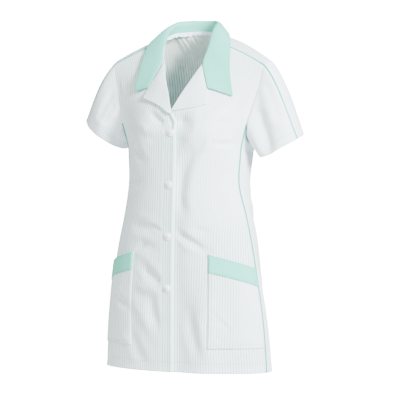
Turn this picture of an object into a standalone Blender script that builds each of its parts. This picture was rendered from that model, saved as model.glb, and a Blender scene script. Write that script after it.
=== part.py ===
"""Short-sleeved work tunic with a button front, filled out as it is when worn.

Metres, +Z up. The front faces -Y and the wearer's left is at +X. The origin
is at the base of the neck, where the tunic hangs from the shoulders. Every
cloth piece is a wall lofted through named sections. Its outer face is laid
out first and the wall is turned inwards. A level is a height on the body
below the bust, and a place along the loft above it.
"""

import math
from bisect import bisect_right
from collections import namedtuple

import bpy
from mathutils import Vector

GARMENT = "work_tunic"

# Cloth and seams
CLOTH = 0.0014
LAY_GAP = 0.0003          # under a piece that is sewn flat onto another
SEAM_TRIM = 0.00025       # taken off each edge of a seam in one plane
BENT_SEAM_TRIM = 0.00075  # the same where the two pieces meet at an angle
SLEEVE_SEAM_TRIM = 0.0009
ARMHOLE_STEP = 0.0010     # the sleeve starts this far outside the armhole

# Levels that part the loft into its stretches
HEM_LEVEL = -0.780
RIB_LEVEL = -0.275
BUST_LEVEL = -0.205
GORGE_LEVEL = -0.070
FRONT_SHOULDER_LEVEL = -0.030
NECK_BACK_LEVEL = -0.030
BACK_SHOULDER_LEVEL = 0.030

# Front lap and its four buttons
LAP = 0.017
LAP_SINK = CLOTH + 3 * LAY_GAP
LAP_SINK_FROM, LAP_SINK_TO = 0.028, 0.064
LAP_OPENS_AT, LAP_IS_OPEN_AT = -0.166, -0.135
BREAK_LEVEL, BREAK_REACH = -0.186, 0.026
CORNER_SINK = 0.0022      # the under front's corner lies deeper below the break
LAP_SHARE = 0.13          # share of the front that is laid out as the lap
TOP_BUTTON_LEVEL = -0.224
BUTTON_PITCH = 0.120
BUTTON_COUNT = 4
BUTTON_RADIUS = 0.008
BUTTON_LIFT = 0.0006

# Patch pockets with slanted bands, in shares of the front's width
POCKET_INNER_TOP, POCKET_INNER_BOTTOM = 0.428, 0.398
POCKET_OUTER = 0.982
POCKET_MOUTH_INNER, POCKET_MOUTH_OUTER = -0.504, -0.540
POCKET_BOTTOM = -0.722
POCKET_FULLNESS = 0.0015
BAND_HEIGHT = 0.042

PIPING_RADIUS = 0.0012
PIPING_SHORT = 0.006      # the side piping ends this far below the armhole
LABEL_HALF_WIDTH = 0.018
LABEL_LEVELS = (-0.047, -0.036)
LABEL_WALL = 0.0008

# Level rings of the body, with the angles of the two seams of the side panel
# counted from the centre front.
Ring = namedtuple("Ring", "level half_width centre front back front_seam back_seam")
BODY = [
    Ring(-0.780, 0.2125, -0.011, 0.1055, 0.122, 84.5, 128.0),
    Ring(-0.720, 0.2080, -0.014, 0.1030, 0.119, 86.0, 128.0),
    Ring(-0.645, 0.2005, -0.017, 0.0990, 0.118, 87.0, 127.0),
    Ring(-0.570, 0.1900, -0.019, 0.0970, 0.119, 86.5, 126.0),
    Ring(-0.495, 0.1780, -0.016, 0.0980, 0.117, 84.5, 125.0),
    Ring(-0.420, 0.1632, -0.010, 0.1010, 0.112, 81.0, 124.0),
    Ring(-0.345, 0.1510, -0.006, 0.1010, 0.110, 74.5, 123.0),
    Ring(-0.275, 0.1550, 0.000, 0.1035, 0.120, 72.5, 121.0),
]

# Armhole edge of the wearer's left side, from the shoulder piping forwards
# and down, round under the arm and up the back. The hem angle is the place on
# the sleeve's hem that each point runs down to, from outermost to the front.
ArmholePoint = namedtuple("ArmholePoint", "index x y z hem_angle")
ARMHOLE = [
    ArmholePoint(0, 0.198, -0.010, -0.068, 20),
    ArmholePoint(1, 0.191, -0.017, -0.105, 50),
    ArmholePoint(2, 0.182, -0.022, -0.138, 76),
    ArmholePoint(3, 0.173, -0.028, -0.172, 102),
    ArmholePoint(4, 0.165, -0.034, -0.203, 127),
    ArmholePoint(5, 0.160, -0.022, -0.235, 154),
    ArmholePoint(6, 0.159, 0.010, -0.252, 182),
    ArmholePoint(7, 0.157, 0.043, -0.238, 212),
    ArmholePoint(8, 0.156, 0.067, -0.205, 242),
    ArmholePoint(9, 0.166, 0.076, -0.165, 270),
    ArmholePoint(10, 0.183, 0.069, -0.119, 300),
    ArmholePoint(11, 0.196, 0.050, -0.080, 330),
    ArmholePoint(12, 0.201, 0.020, -0.057, 356),
]
UNDERARM, SIDE_FRONT, SIDE_BACK = 6, 4, 8

# Neck seam of the wearer's left side, from the centre back round the side of
# the neck to the place where collar and lapel meet.
NeckPoint = namedtuple("NeckPoint", "place x y z")
NECK = [
    NeckPoint(0, 0.000, 0.066, 0.008),
    NeckPoint(1, 0.040, 0.056, 0.006),
    NeckPoint(2, 0.066, 0.034, 0.001),
    NeckPoint(3, 0.073, -0.002, -0.016),
    NeckPoint(4, 0.064, -0.0165, -0.039),
    NeckPoint(5, 0.052, -0.031, -0.063),
]
SHOULDER_NECK, GORGE_NECK = 3, 5

# Fold of the lapel, from the front edge up to the end of the neck seam. The
# first row lies below the loft's upper stretch and only steers its curve.
RollPoint = namedtuple("RollPoint", "level x y z")
ROLL = [
    RollPoint(-0.240, -0.010, -0.1140, -0.240),
    RollPoint(-0.205, -0.017, -0.0990, -0.205),
    RollPoint(-0.188, -0.010, -0.0975, -0.188),
    RollPoint(-0.170, 0.002, -0.0950, -0.170),
    RollPoint(-0.136, 0.018, -0.0770, -0.136),
    RollPoint(-0.102, 0.0355, -0.0580, -0.101),
    RollPoint(-0.070, 0.052, -0.0310, -0.063),
]

# Upper fronts: where each level meets the armhole, and how far it stands out
FrontLevel = namedtuple("FrontLevel", "level armhole forward up")
FRONT_TOP = [
    FrontLevel(-0.205, 4.00, 0.022, 0.000),
    FrontLevel(-0.170, 3.00, 0.012, 0.000),
    FrontLevel(-0.136, 2.00, 0.005, 0.000),
    FrontLevel(-0.102, 1.00, 0.003, 0.001),
    FrontLevel(-0.070, 0.45, 0.002, 0.003),
    FrontLevel(-0.030, 0.00, 0.001, 0.006),
]

# Upper back, over the shoulders to the piped seam in front of them
BackLevel = namedtuple("BackLevel", "level neck centre_y centre_z armhole backward up")
BACK_TOP = [
    BackLevel(-0.205, 0, 0.124, -0.205, 8.00, 0.0170, 0.000),
    BackLevel(-0.155, 0, 0.118, -0.140, 9.00, 0.0145, 0.000),
    BackLevel(-0.105, 0, 0.105, -0.075, 10.00, 0.0120, 0.002),
    BackLevel(-0.060, 0, 0.086, -0.024, 11.00, 0.0100, 0.008),
    BackLevel(-0.030, 0, 0.066, 0.008, 12.00, 0.0080, 0.016),
    BackLevel(-0.010, 1, 0.066, 0.008, 12.35, 0.0040, 0.013),
    BackLevel(0.008, 2, 0.066, 0.008, 12.65, 0.0010, 0.009),
    BackLevel(0.030, 3, 0.066, 0.008, 13.00, 0.0000, 0.006),
]

# Sleeve hems, and how the sleeve leaves the armhole above and under the arm
SLEEVE_HEM_X, SLEEVE_HEM_Y = 0.234, 0.015
SLEEVE_HEM_HEIGHT = {1: -0.256, -1: -0.236}
SLEEVE_HEM_TILT = {1: 0.0235, -1: 0.0325}
SLEEVE_HEM_FRONT_DROP = {1: 0.012, -1: 0.0}
SLEEVE_HEM_WIDTH, SLEEVE_HEM_DEPTH = 0.050, 0.052
SLEEVE_TOP_ANGLE = math.radians(8)
SLEEVE_TOP_DIRECTION = Vector((0.74, -0.05, -0.67)).normalized()
SLEEVE_UNDER_DIRECTION = Vector((0.60, 0.0, -0.80))
SLEEVE_HEM_DIRECTION = Vector((0.425, 0.0, -0.905)).normalized()
SLEEVE_TOP_REACH, SLEEVE_UNDER_REACH = 0.150, 0.030
SLEEVE_HEM_TOP_REACH, SLEEVE_HEM_UNDER_REACH = 0.180, 0.035
SLEEVE_BICEP = 0.006

# Collar: its stand ends on the neck seam, its fall hangs from the fold
CollarStation = namedtuple(
    "CollarStation", "place fold_x fold_y fold_z edge_x edge_y edge_z spring"
)
COLLAR = [
    CollarStation(0, 0.0000, 0.0670, 0.0335, 0.000, 0.0950, -0.030, 0.024),
    CollarStation(1, 0.0330, 0.0580, 0.0335, 0.056, 0.0870, -0.023, 0.022),
    CollarStation(2, 0.0530, 0.0340, 0.0300, 0.082, 0.0480, 0.0055, 0.015),
    CollarStation(3, 0.0590, 0.0020, 0.0120, 0.103, 0.0040, -0.0105, 0.021),
    CollarStation(4, 0.0580, -0.0200, -0.0280, 0.114, -0.0180, -0.044, 0.018),
    CollarStation(5, 0.0530, -0.0355, -0.0620, 0.118, -0.0330, -0.078, 0.010),
    CollarStation(6, 0.0660, -0.0515, -0.0930, 0.121, -0.0455, -0.108, 0.006),
    CollarStation(7, 0.0790, -0.0620, -0.1220, 0.124, -0.0500, -0.137, 0.004),
]
STAND_END = 4.6
STAND_BELOW_FOLD = 2 * CLOTH + LAY_GAP

# Outline of the lapels, as shares of the front's width at each level. The
# wearer's right front laps over, so its lapel starts lower.
LapelLevel = namedtuple("LapelLevel", "level reach")
OVER_LAPEL = [
    LapelLevel(-0.179, 0.020),
    LapelLevel(-0.167, 0.130),
    LapelLevel(-0.157, 0.260),
    LapelLevel(-0.147, 0.455),
    LapelLevel(-0.120, 0.345),
    LapelLevel(-0.096, 0.170),
    LapelLevel(-0.074, 0.030),
]
UNDER_LAPEL = [
    LapelLevel(-0.1725, 0.080),
    LapelLevel(-0.170, 0.190),
    LapelLevel(-0.165, 0.320),
    LapelLevel(-0.158, 0.452),
    LapelLevel(-0.140, 0.390),
    LapelLevel(-0.122, 0.325),
    LapelLevel(-0.096, 0.170),
    LapelLevel(-0.074, 0.030),
]
LAPEL_LIFT = CLOTH + 3 * LAY_GAP
LAPEL_SPRING = 0.0022

# Fullness over the bust, and the largest folds of each face, seen from
# straight ahead: a soft trough from one place to another
BUST_X, BUST_Z = 0.086, -0.213
BUST_WIDTH, BUST_HEIGHT, BUST_RISE = 0.050, 0.055, 0.009
Trough = namedtuple("Trough", "from_x from_z to_x to_z width depth")
FRONT_TROUGHS = [
    Trough(-0.032, -0.212, -0.070, -0.165, 0.014, 0.0035),
    Trough(-0.014, -0.452, -0.066, -0.428, 0.013, 0.0025),
    Trough(-0.012, -0.583, -0.060, -0.545, 0.014, 0.0035),
    Trough(-0.062, -0.620, -0.066, -0.780, 0.018, 0.0030),
    Trough(-0.112, -0.252, -0.148, -0.244, 0.012, 0.0025),
    Trough(0.030, -0.466, 0.074, -0.486, 0.011, 0.0040),
    Trough(0.094, -0.266, 0.034, -0.380, 0.018, 0.0030),
    Trough(0.110, -0.252, 0.150, -0.244, 0.012, 0.0030),
    Trough(0.078, -0.540, 0.086, -0.780, 0.020, 0.0024),
]
BACK_TROUGHS = [
    Trough(0.015, -0.362, 0.105, -0.385, 0.016, 0.0030),
    Trough(0.080, -0.545, 0.088, -0.780, 0.022, 0.0030),
]
SleeveTrough = namedtuple("SleeveTrough", "side from_index from_drop to_index to_drop width depth")
SLEEVE_TROUGHS = [
    SleeveTrough(1, 1.4, 0.30, 2.6, 0.98, 0.012, 0.0040),
    SleeveTrough(1, 10.6, 0.25, 9.6, 0.90, 0.013, 0.0030),
    SleeveTrough(-1, 3.0, 0.10, 3.4, 0.80, 0.010, 0.0030),
    SleeveTrough(-1, 10.2, 0.30, 9.2, 0.95, 0.013, 0.0030),
]

# How finely each wall is laid out
HEM_TO_RIB_ROWS, RIB_TO_BUST_ROWS, BUST_TO_SHOULDER_ROWS = 16, 3, 11

# The long walls are made in three lengths, parted at these rows
LENGTHS = ("skirt", "waist", "upper")
LENGTH_ROWS = (HEM_TO_RIB_ROWS // 2, HEM_TO_RIB_ROWS)
FRONT_SHARES = [0, 0.065, 0.13, 0.19, 0.26, 0.34, 0.42, 0.50, 0.58, 0.66, 0.75, 0.84, 0.92, 1]
BACK_COLUMNS, SIDE_COLUMNS = 8, 4
SLEEVE_ROWS = 8
POCKET_ROWS, POCKET_COLUMNS = 8, 7
BAND_ROWS = 2
LAPEL_COLUMNS = 5
COLLAR_ROWS, COLLAR_COLUMNS, STAND_ROWS = 16, 5, 2

COTTON_WHITE = (0.80, 0.86, 0.86)
COTTON_MINT = (0.56, 0.78, 0.73)
BUTTON_WHITE = (0.88, 0.90, 0.89)


def blend(a, b, share):
    return a + (b - a) * share


def fade(value, start, end):
    """Return 0 at start and 1 at end, smoothly."""
    share = min(max((value - start) / (end - start), 0.0), 1.0)
    return share * share * (3 - 2 * share)


def ease(start, end, start_slope, end_slope, share):
    """Return the cubic from start to end with the given slopes."""
    square, cube = share**2, share**3
    return (
        start * (2 * cube - 3 * square + 1)
        + start_slope * (cube - 2 * square + share)
        + end * (3 * square - 2 * cube)
        + end_slope * (cube - square)
    )


def smooth_row(table, key):
    """Return the columns of a table between its rows, on a smooth curve."""
    keys = [row[0] for row in table]
    low = min(max(bisect_right(keys, key) - 1, 0), len(table) - 2)
    span = keys[low + 1] - keys[low]

    def slope(row, column):
        before, after = max(row - 1, 0), min(row + 1, len(table) - 1)
        rise = table[after][column] - table[before][column]
        return rise / (keys[after] - keys[before]) * span

    share = (key - keys[low]) / span
    return [
        ease(table[low][column], table[low + 1][column],
             slope(low, column), slope(low + 1, column), share)
        for column in range(1, len(table[0]))
    ]


def straight_value(table, key, column):
    """Return one column of a table between its rows, on straight lines."""
    keys = [row[0] for row in table]
    low = min(max(bisect_right(keys, key) - 1, 0), len(table) - 2)
    share = (key - keys[low]) / (keys[low + 1] - keys[low])
    return blend(table[low][column], table[low + 1][column], share)


def mirrored(point):
    return Vector((-point.x, point.y, point.z))


# ---- the body's surface --------------------------------------------------

def closed_armhole():
    """Return the armhole's table with its ends carried on past the start."""
    count = len(ARMHOLE)
    before = ARMHOLE[-1]._replace(index=-1, hem_angle=ARMHOLE[-1].hem_angle - 360)
    after = [
        row._replace(index=row.index + count, hem_angle=row.hem_angle + 360)
        for row in ARMHOLE[:2]
    ]
    return [before] + ARMHOLE + after


ARMHOLE_LOOP = closed_armhole()
NECK_LINE = [NECK[1]._replace(place=-1, x=-NECK[1].x)] + NECK


def armhole_point(index):
    return Vector(smooth_row(ARMHOLE_LOOP, index)[:3])


def neck_point(place):
    return Vector(smooth_row(NECK_LINE, place))


def ring_point(angle, level):
    """Return the point of the body's ring at an angle from the centre front."""
    half_width, centre, front, back = smooth_row(BODY, level)[:4]
    depth = front if math.cos(angle) > 0 else back
    return Vector((half_width * math.sin(angle), centre - depth * math.cos(angle), level))


def front_ring(share, level):
    half_width = smooth_row(BODY, level)[0]
    seam = math.radians(smooth_row(BODY, level)[4])
    if share < LAP_SHARE:
        return ring_point(math.asin(LAP * (2 * share / LAP_SHARE - 1) / half_width), level)
    beyond = (share - LAP_SHARE) / (1 - LAP_SHARE)
    return ring_point(blend(math.asin(LAP / half_width), seam, beyond), level)


def front_upper(share, level):
    if level <= GORGE_LEVEL:
        inner = Vector(smooth_row(ROLL, level))
    else:
        rise = (level - GORGE_LEVEL) / (FRONT_SHOULDER_LEVEL - GORGE_LEVEL)
        inner = neck_point(blend(GORGE_NECK, SHOULDER_NECK, rise))
    forward, up = smooth_row(FRONT_TOP, level)[1:]
    outer = armhole_point(straight_value(FRONT_TOP, level, 1))
    swell = math.sin(math.pi * share)
    return inner.lerp(outer, share) + Vector((0, -forward, up)) * swell


def back_ring(share, level):
    seam = math.radians(smooth_row(BODY, level)[5])
    return ring_point(blend(math.pi, seam, share), level)


def back_upper(share, level):
    centre_y, centre_z = smooth_row(BACK_TOP, level)[1:3]
    inner = Vector((0, centre_y, centre_z))
    if level > NECK_BACK_LEVEL:
        inner = neck_point(straight_value(BACK_TOP, level, 1))
    backward, up = smooth_row(BACK_TOP, level)[4:]
    outer = armhole_point(straight_value(BACK_TOP, level, 4))
    swell = math.sin(math.pi * share)
    return inner.lerp(outer, share) + Vector((0, backward, up)) * swell


def joined(lower, upper, share, level):
    """Return a point of the loft whose two stretches are eased together."""
    if level <= RIB_LEVEL:
        return lower(share, level)
    if level >= BUST_LEVEL:
        return upper(share, level)
    span = BUST_LEVEL - RIB_LEVEL
    step = 0.001
    start, end = lower(share, RIB_LEVEL), upper(share, BUST_LEVEL)
    start_slope = (start - lower(share, RIB_LEVEL - step)) * span / step
    end_slope = (upper(share, BUST_LEVEL + step) - end) * span / step
    return ease(start, end, start_slope, end_slope, (level - RIB_LEVEL) / span)


def trough_depth(x, z, troughs):
    """Return how far soft troughs push a point in, seen from straight ahead."""
    place = Vector((x, z))
    depth = 0.0
    for trough in troughs:
        start = Vector((trough.from_x, trough.from_z))
        run = Vector((trough.to_x, trough.to_z)) - start
        share = min(max((place - start).dot(run) / run.length_squared, 0.0), 1.0)
        away = (place - start - run * share).length
        depth += trough.depth * math.exp(-((away / trough.width) ** 2))
    return depth


def front_point(side, share, level):
    """Return the outer face of one front; side is 1 for the wearer's left."""
    point = joined(front_ring, front_upper, share, level)
    rise = BUST_RISE * math.exp(
        -(((point.x - BUST_X) / BUST_WIDTH) ** 2) - ((point.z - BUST_Z) / BUST_HEIGHT) ** 2
    )
    rise *= fade(point.x, LAP, 4 * LAP) * (1 - fade(share, 0.75, 1.0))
    sink = 0.0
    if side > 0:
        sink = LAP_SINK * (1 - fade(point.x, LAP_SINK_FROM, LAP_SINK_TO))
        sink *= 1 - fade(level, LAP_OPENS_AT, LAP_IS_OPEN_AT)
        corner = 1 - fade(abs(level - BREAK_LEVEL), 0.0, BREAK_REACH)
        sink += CORNER_SINK * corner * (1 - fade(share, 0.0, 0.25))
    if side < 0:
        point = mirrored(point)
    edge = 1 - fade(share, 0.85, 1.0)
    edge *= fade(abs(point.x), LAP, 2 * LAP)
    point.y += trough_depth(point.x, point.z, FRONT_TROUGHS) * edge + sink - rise
    return point


def back_point(share, level):
    """Return the outer face of the back's half on the wearer's left."""
    point = joined(back_ring, back_upper, share, level)
    point.y -= trough_depth(point.x, point.z, BACK_TROUGHS) * (1 - fade(share, 0.8, 1.0))
    return point


def side_point(share, level):
    """Return the outer face of a side panel, up to the armhole's lower edge."""
    if level <= RIB_LEVEL:
        front_seam, back_seam = smooth_row(BODY, level)[4:]
        return ring_point(math.radians(blend(front_seam, back_seam, share)), level)
    height = (level - RIB_LEVEL) / (BUST_LEVEL - RIB_LEVEL)
    foot = side_point(share, RIB_LEVEL)
    top = armhole_point(blend(SIDE_FRONT, SIDE_BACK, share))
    front_edge, back_edge = front_point(1, 1.0, level), back_point(1.0, level)
    corners = [
        side_point(0.0, RIB_LEVEL).lerp(armhole_point(SIDE_FRONT), height),
        side_point(1.0, RIB_LEVEL).lerp(armhole_point(SIDE_BACK), height),
    ]
    return (
        foot.lerp(top, height)
        + front_edge.lerp(back_edge, share)
        - corners[0].lerp(corners[1], share)
    )


def sleeve_point(side, index, drop):
    """Return the sleeve's outer face, at a drop of 0 at the armhole, 1 at the hem."""
    row = smooth_row(ARMHOLE_LOOP, index)
    angle = math.radians(row[3])
    hem = Vector((
        SLEEVE_HEM_X + SLEEVE_HEM_WIDTH * math.cos(angle),
        SLEEVE_HEM_Y - SLEEVE_HEM_DEPTH * math.sin(angle),
        SLEEVE_HEM_HEIGHT[side] + SLEEVE_HEM_TILT[side] * math.cos(angle)
        - SLEEVE_HEM_FRONT_DROP[side] * math.sin(angle),
    ))
    over = (1 + math.cos(angle - SLEEVE_TOP_ANGLE)) / 2
    start_way = SLEEVE_UNDER_DIRECTION.lerp(SLEEVE_TOP_DIRECTION, over).normalized()
    start_reach = blend(SLEEVE_UNDER_REACH, SLEEVE_TOP_REACH, over)
    end_reach = blend(SLEEVE_HEM_UNDER_REACH, SLEEVE_HEM_TOP_REACH, over)
    start = Vector(row[:3]) + start_way * ARMHOLE_STEP
    point = ease(
        start, hem, start_way * start_reach, SLEEVE_HEM_DIRECTION * end_reach, drop
    )
    point.y -= SLEEVE_BICEP * math.sin(angle) * math.sin(math.pi * drop)
    return point


def folded_sleeve_point(side, index, drop):
    """Return the sleeve's outer face with its soft troughs, on its own side."""
    point = sleeve_point(side, index, drop)
    heart = Vector((blend(0.185, SLEEVE_HEM_X, drop), SLEEVE_HEM_Y, point.z))
    inward = (heart - point).normalized()
    depth = 0.0
    for trough in SLEEVE_TROUGHS:
        if trough.side != side:
            continue
        start = sleeve_point(side, trough.from_index, trough.from_drop)
        run = sleeve_point(side, trough.to_index, trough.to_drop) - start
        share = min(max((point - start).dot(run) / run.length_squared, 0.0), 1.0)
        away = (point - start - run * share).length
        depth += trough.depth * math.exp(-((away / trough.width) ** 2))
    point += inward * depth * fade(drop, 0.0, 0.15)
    return point if side > 0 else mirrored(point)


# ---- making the walls ----------------------------------------------------

def lifted(surface, a, b, lift, outward):
    """Return a point moved off a surface of two places by a lift."""
    step_a, step_b = 0.004, 0.002
    across = surface(a + step_a, b) - surface(a - step_a, b)
    along = surface(a, b + step_b) - surface(a, b - step_b)
    normal = across.cross(along).normalized() * outward
    return surface(a, b) + normal * lift


def stations(*stretches):
    """Return places along a loft: each stretch is its ends and its step count."""
    places = [stretches[0][0]]
    for start, end, steps in stretches:
        places += [blend(start, end, step / steps) for step in range(1, steps + 1)]
    return places


def draw_in(rows, first=0.0, last=0.0, bottom=0.0, top=0.0, bent_rows=0):
    """Move the edges of a grid of points in from the seams that they lie on.

    The last bent_rows rows meet their neighbours at an angle.
    """
    for number, row in enumerate(rows):
        more = BENT_SEAM_TRIM - SEAM_TRIM if number >= len(rows) - bent_rows else 0.0
        row[0] = row[0] + (row[1] - row[0]).normalized() * (first and first + more)
        row[-1] = row[-1] + (row[-2] - row[-1]).normalized() * (last and last + more)
    for edge, inner, trim in ((0, 1, bottom), (-1, -2, top)):
        rows[edge] = [
            point + (next_point - point).normalized() * trim
            for point, next_point in zip(rows[edge], rows[inner])
        ]
    return rows


def cloth_material(name, colour, roughness):
    material = bpy.data.materials.new(name)
    material.use_nodes = True
    shader = material.node_tree.nodes["Principled BSDF"]
    shader.inputs["Base Color"].default_value = (*colour, 1)
    shader.inputs["Roughness"].default_value = roughness
    shader.inputs["Metallic"].default_value = 0
    return material


def add_object(name, data, colour, roughness=0.85):
    data.materials.append(cloth_material(name, colour, roughness))
    part = bpy.data.objects.new(name, data)
    bpy.data.collections[GARMENT].objects.link(part)
    return part


def add_wall(name, rows, colour, outward=1, whole=False, wall=CLOTH):
    """Turn a grid of outer points into a cloth wall; whole mirrors it at X 0."""
    columns = len(rows[0])
    corners = []
    for row in range(len(rows) - 1):
        for column in range(columns - 1):
            first = row * columns + column
            face = [first, first + 1, first + columns + 1, first + columns]
            corners.append(face if outward > 0 else face[::-1])
    mesh = bpy.data.meshes.new(name)
    mesh.from_pydata([point for row in rows for point in row], [], corners)
    mesh.shade_smooth()
    part = add_object(name, mesh, colour)
    if whole:
        mirror = part.modifiers.new("other_half", "MIRROR")
        mirror.merge_threshold = 0.0001
    solid = part.modifiers.new("cloth", "SOLIDIFY")
    solid.thickness = wall
    solid.offset = -1
    solid.use_even_offset = True
    return part


def add_lengths(name, rows, outward, whole=False):
    """Add a long wall as three walls, each the width of a seam from the next."""
    edges = [0, *LENGTH_ROWS, len(rows) - 1]
    for length, low, high in zip(LENGTHS, edges, edges[1:]):
        part = [list(row) for row in rows[low:high + 1]]
        draw_in(part, bottom=SEAM_TRIM if low else 0.0,
                top=SEAM_TRIM if high < len(rows) - 1 else 0.0)
        add_wall(f"{name}_{length}", part, COTTON_WHITE, outward, whole=whole)


def add_tube(name, points, radius, colour):
    curve = bpy.data.curves.new(name, "CURVE")
    curve.dimensions = "3D"
    curve.bevel_depth = radius
    curve.bevel_resolution = 2
    curve.use_fill_caps = True
    spline = curve.splines.new("POLY")
    spline.points.add(len(points) - 1)
    for target, point in zip(spline.points, points):
        target.co = (*point, 1)
    return add_object(name, curve, colour)


# ---- the pieces ----------------------------------------------------------

SIDES = ((1, "left"), (-1, "right"))


def add_fronts():
    levels = stations(
        (HEM_LEVEL, RIB_LEVEL, HEM_TO_RIB_ROWS),
        (RIB_LEVEL, BUST_LEVEL, RIB_TO_BUST_ROWS),
        (BUST_LEVEL, FRONT_SHOULDER_LEVEL, BUST_TO_SHOULDER_ROWS),
    )
    for side, name in SIDES:
        rows = [[front_point(side, share, level) for share in FRONT_SHARES] for level in levels]
        draw_in(rows, last=SEAM_TRIM, top=BENT_SEAM_TRIM,
                bent_rows=BUST_TO_SHOULDER_ROWS + RIB_TO_BUST_ROWS + 1)
        add_lengths(f"front_{name}", rows, side)


def add_side_panels():
    levels = stations(
        (HEM_LEVEL, RIB_LEVEL, HEM_TO_RIB_ROWS), (RIB_LEVEL, BUST_LEVEL, RIB_TO_BUST_ROWS)
    )
    for side, name in SIDES:
        rows = [
            [side_point(column / SIDE_COLUMNS, level) for column in range(SIDE_COLUMNS + 1)]
            for level in levels
        ]
        draw_in(rows, first=SEAM_TRIM, last=SEAM_TRIM, bent_rows=RIB_TO_BUST_ROWS + 1)
        if side < 0:
            rows = [[mirrored(point) for point in row] for row in rows]
        add_wall(f"side_panel_{name}", rows, COTTON_WHITE, side)


def add_back():
    levels = stations(
        (HEM_LEVEL, RIB_LEVEL, HEM_TO_RIB_ROWS),
        (RIB_LEVEL, BUST_LEVEL, RIB_TO_BUST_ROWS),
        (BUST_LEVEL, NECK_BACK_LEVEL, BUST_TO_SHOULDER_ROWS - 4),
        (NECK_BACK_LEVEL, BACK_SHOULDER_LEVEL, BUST_TO_SHOULDER_ROWS - 4),
    )
    rows = [
        [back_point(column / BACK_COLUMNS, level) for column in range(BACK_COLUMNS + 1)]
        for level in levels
    ]
    draw_in(rows, last=SEAM_TRIM, top=BENT_SEAM_TRIM,
            bent_rows=2 * BUST_TO_SHOULDER_ROWS - 7 + RIB_TO_BUST_ROWS)
    add_lengths("back", rows, -1, whole=True)


def add_sleeves():
    halves = (("front", 0, UNDERARM), ("back", UNDERARM, len(ARMHOLE)))
    for side, side_name in SIDES:
        for half, first, last in halves:
            indices = stations((first, last, (last - first) * 2))
            rows = [
                [folded_sleeve_point(side, index, row / SLEEVE_ROWS) for index in indices]
                for row in range(SLEEVE_ROWS + 1)
            ]
            draw_in(rows, first=SLEEVE_SEAM_TRIM, last=SLEEVE_SEAM_TRIM)
            add_wall(f"sleeve_{half}_{side_name}", rows, COTTON_WHITE, side)


def collar_fall_point(place, fall):
    """Return the collar's fall, from its fold at 0 to its outer edge at 1."""
    fold_x, fold_y, fold_z, edge_x, edge_y, edge_z, spring = smooth_row(COLLAR_LINE, place)
    fold, edge = Vector((fold_x, fold_y, fold_z)), Vector((edge_x, edge_y, edge_z))
    outward = Vector((edge_x - fold_x, edge_y - fold_y, 0)).normalized()
    start_way = (outward * 1.6 + Vector((0, -0.2, 0.7))) * spring
    end_way = (edge - fold) - Vector((0, 0, spring * 0.5))
    return ease(fold, edge, start_way, end_way, fall)


def stand_point(place, rise):
    """Return the collar's stand, from the neck seam at 0 to the fold at 1."""
    fold = Vector(smooth_row(COLLAR_LINE, place)[:3])
    seam = neck_point(place)
    way = (fold - seam).normalized()
    foot = seam + way * (BENT_SEAM_TRIM + LAY_GAP)
    return foot.lerp(fold - way * STAND_BELOW_FOLD, rise)


COLLAR_LINE = [
    COLLAR[1]._replace(place=-1, fold_x=-COLLAR[1].fold_x, edge_x=-COLLAR[1].edge_x)
] + COLLAR


def add_collar():
    last = COLLAR[-1].place
    rows = [
        [collar_fall_point(last * row / COLLAR_ROWS, column / COLLAR_COLUMNS)
         for column in range(COLLAR_COLUMNS + 1)]
        for row in range(COLLAR_ROWS + 1)
    ]
    add_wall("collar_fall", rows, COTTON_MINT, 1, whole=True)
    stand_steps = COLLAR_ROWS - 4
    rows = [
        [stand_point(STAND_END * row / stand_steps, column / STAND_ROWS)
         for column in range(STAND_ROWS + 1)]
        for row in range(stand_steps + 1)
    ]
    add_wall("collar_stand", rows, COTTON_MINT, -1, whole=True)


def add_lapels():
    outlines = {1: UNDER_LAPEL, -1: OVER_LAPEL}
    for side, name in SIDES:
        outline = outlines[side]
        levels = []
        for low, high in zip(outline, outline[1:]):
            levels += [low.level, (low.level + high.level) / 2]
        levels.append(outline[-1].level)
        rows = []
        for level in levels:
            reach = straight_value(outline, level, 1)
            row = []
            for column in range(LAPEL_COLUMNS + 1):
                across = column / LAPEL_COLUMNS
                lift = LAPEL_LIFT + LAPEL_SPRING * math.sin(math.pi * across) * min(reach * 4, 1)
                row.append(lifted(
                    lambda a, b: front_point(side, a, b), reach * across, level, lift, side
                ))
            rows.append(row)
        add_wall(f"lapel_{name}", rows, COTTON_WHITE, side)


def mouth_level(across):
    return blend(POCKET_MOUTH_INNER, POCKET_MOUTH_OUTER, across)


def pocket_point(side, across, below, lift):
    """Return a point over a pocket, so far below its slanted mouth."""
    up = 1 - below / (mouth_level(across) - POCKET_BOTTOM)
    inner = blend(POCKET_INNER_BOTTOM, POCKET_INNER_TOP, up)
    fullness = POCKET_FULLNESS * math.sin(math.pi * across) * up
    return lifted(
        lambda a, b: front_point(side, a, b),
        blend(inner, POCKET_OUTER, across), mouth_level(across) - below, lift + fullness, side
    )


def add_pockets():
    lift = CLOTH + 3 * LAY_GAP
    columns = [column / POCKET_COLUMNS for column in range(POCKET_COLUMNS + 1)]
    for side, name in SIDES:
        rows = [
            [pocket_point(side, across, (mouth_level(across) - POCKET_BOTTOM) * down, lift)
             for across in columns]
            for down in stations((1.0, 0.0, POCKET_ROWS))
        ]
        add_wall(f"pocket_{name}", rows, COTTON_WHITE, side)
        rows = [
            [pocket_point(side, across, below, 2 * lift) for across in columns]
            for below in stations((BAND_HEIGHT, 0.0, BAND_ROWS))
        ]
        add_wall(f"pocket_band_{name}", rows, COTTON_MINT, side)


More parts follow.
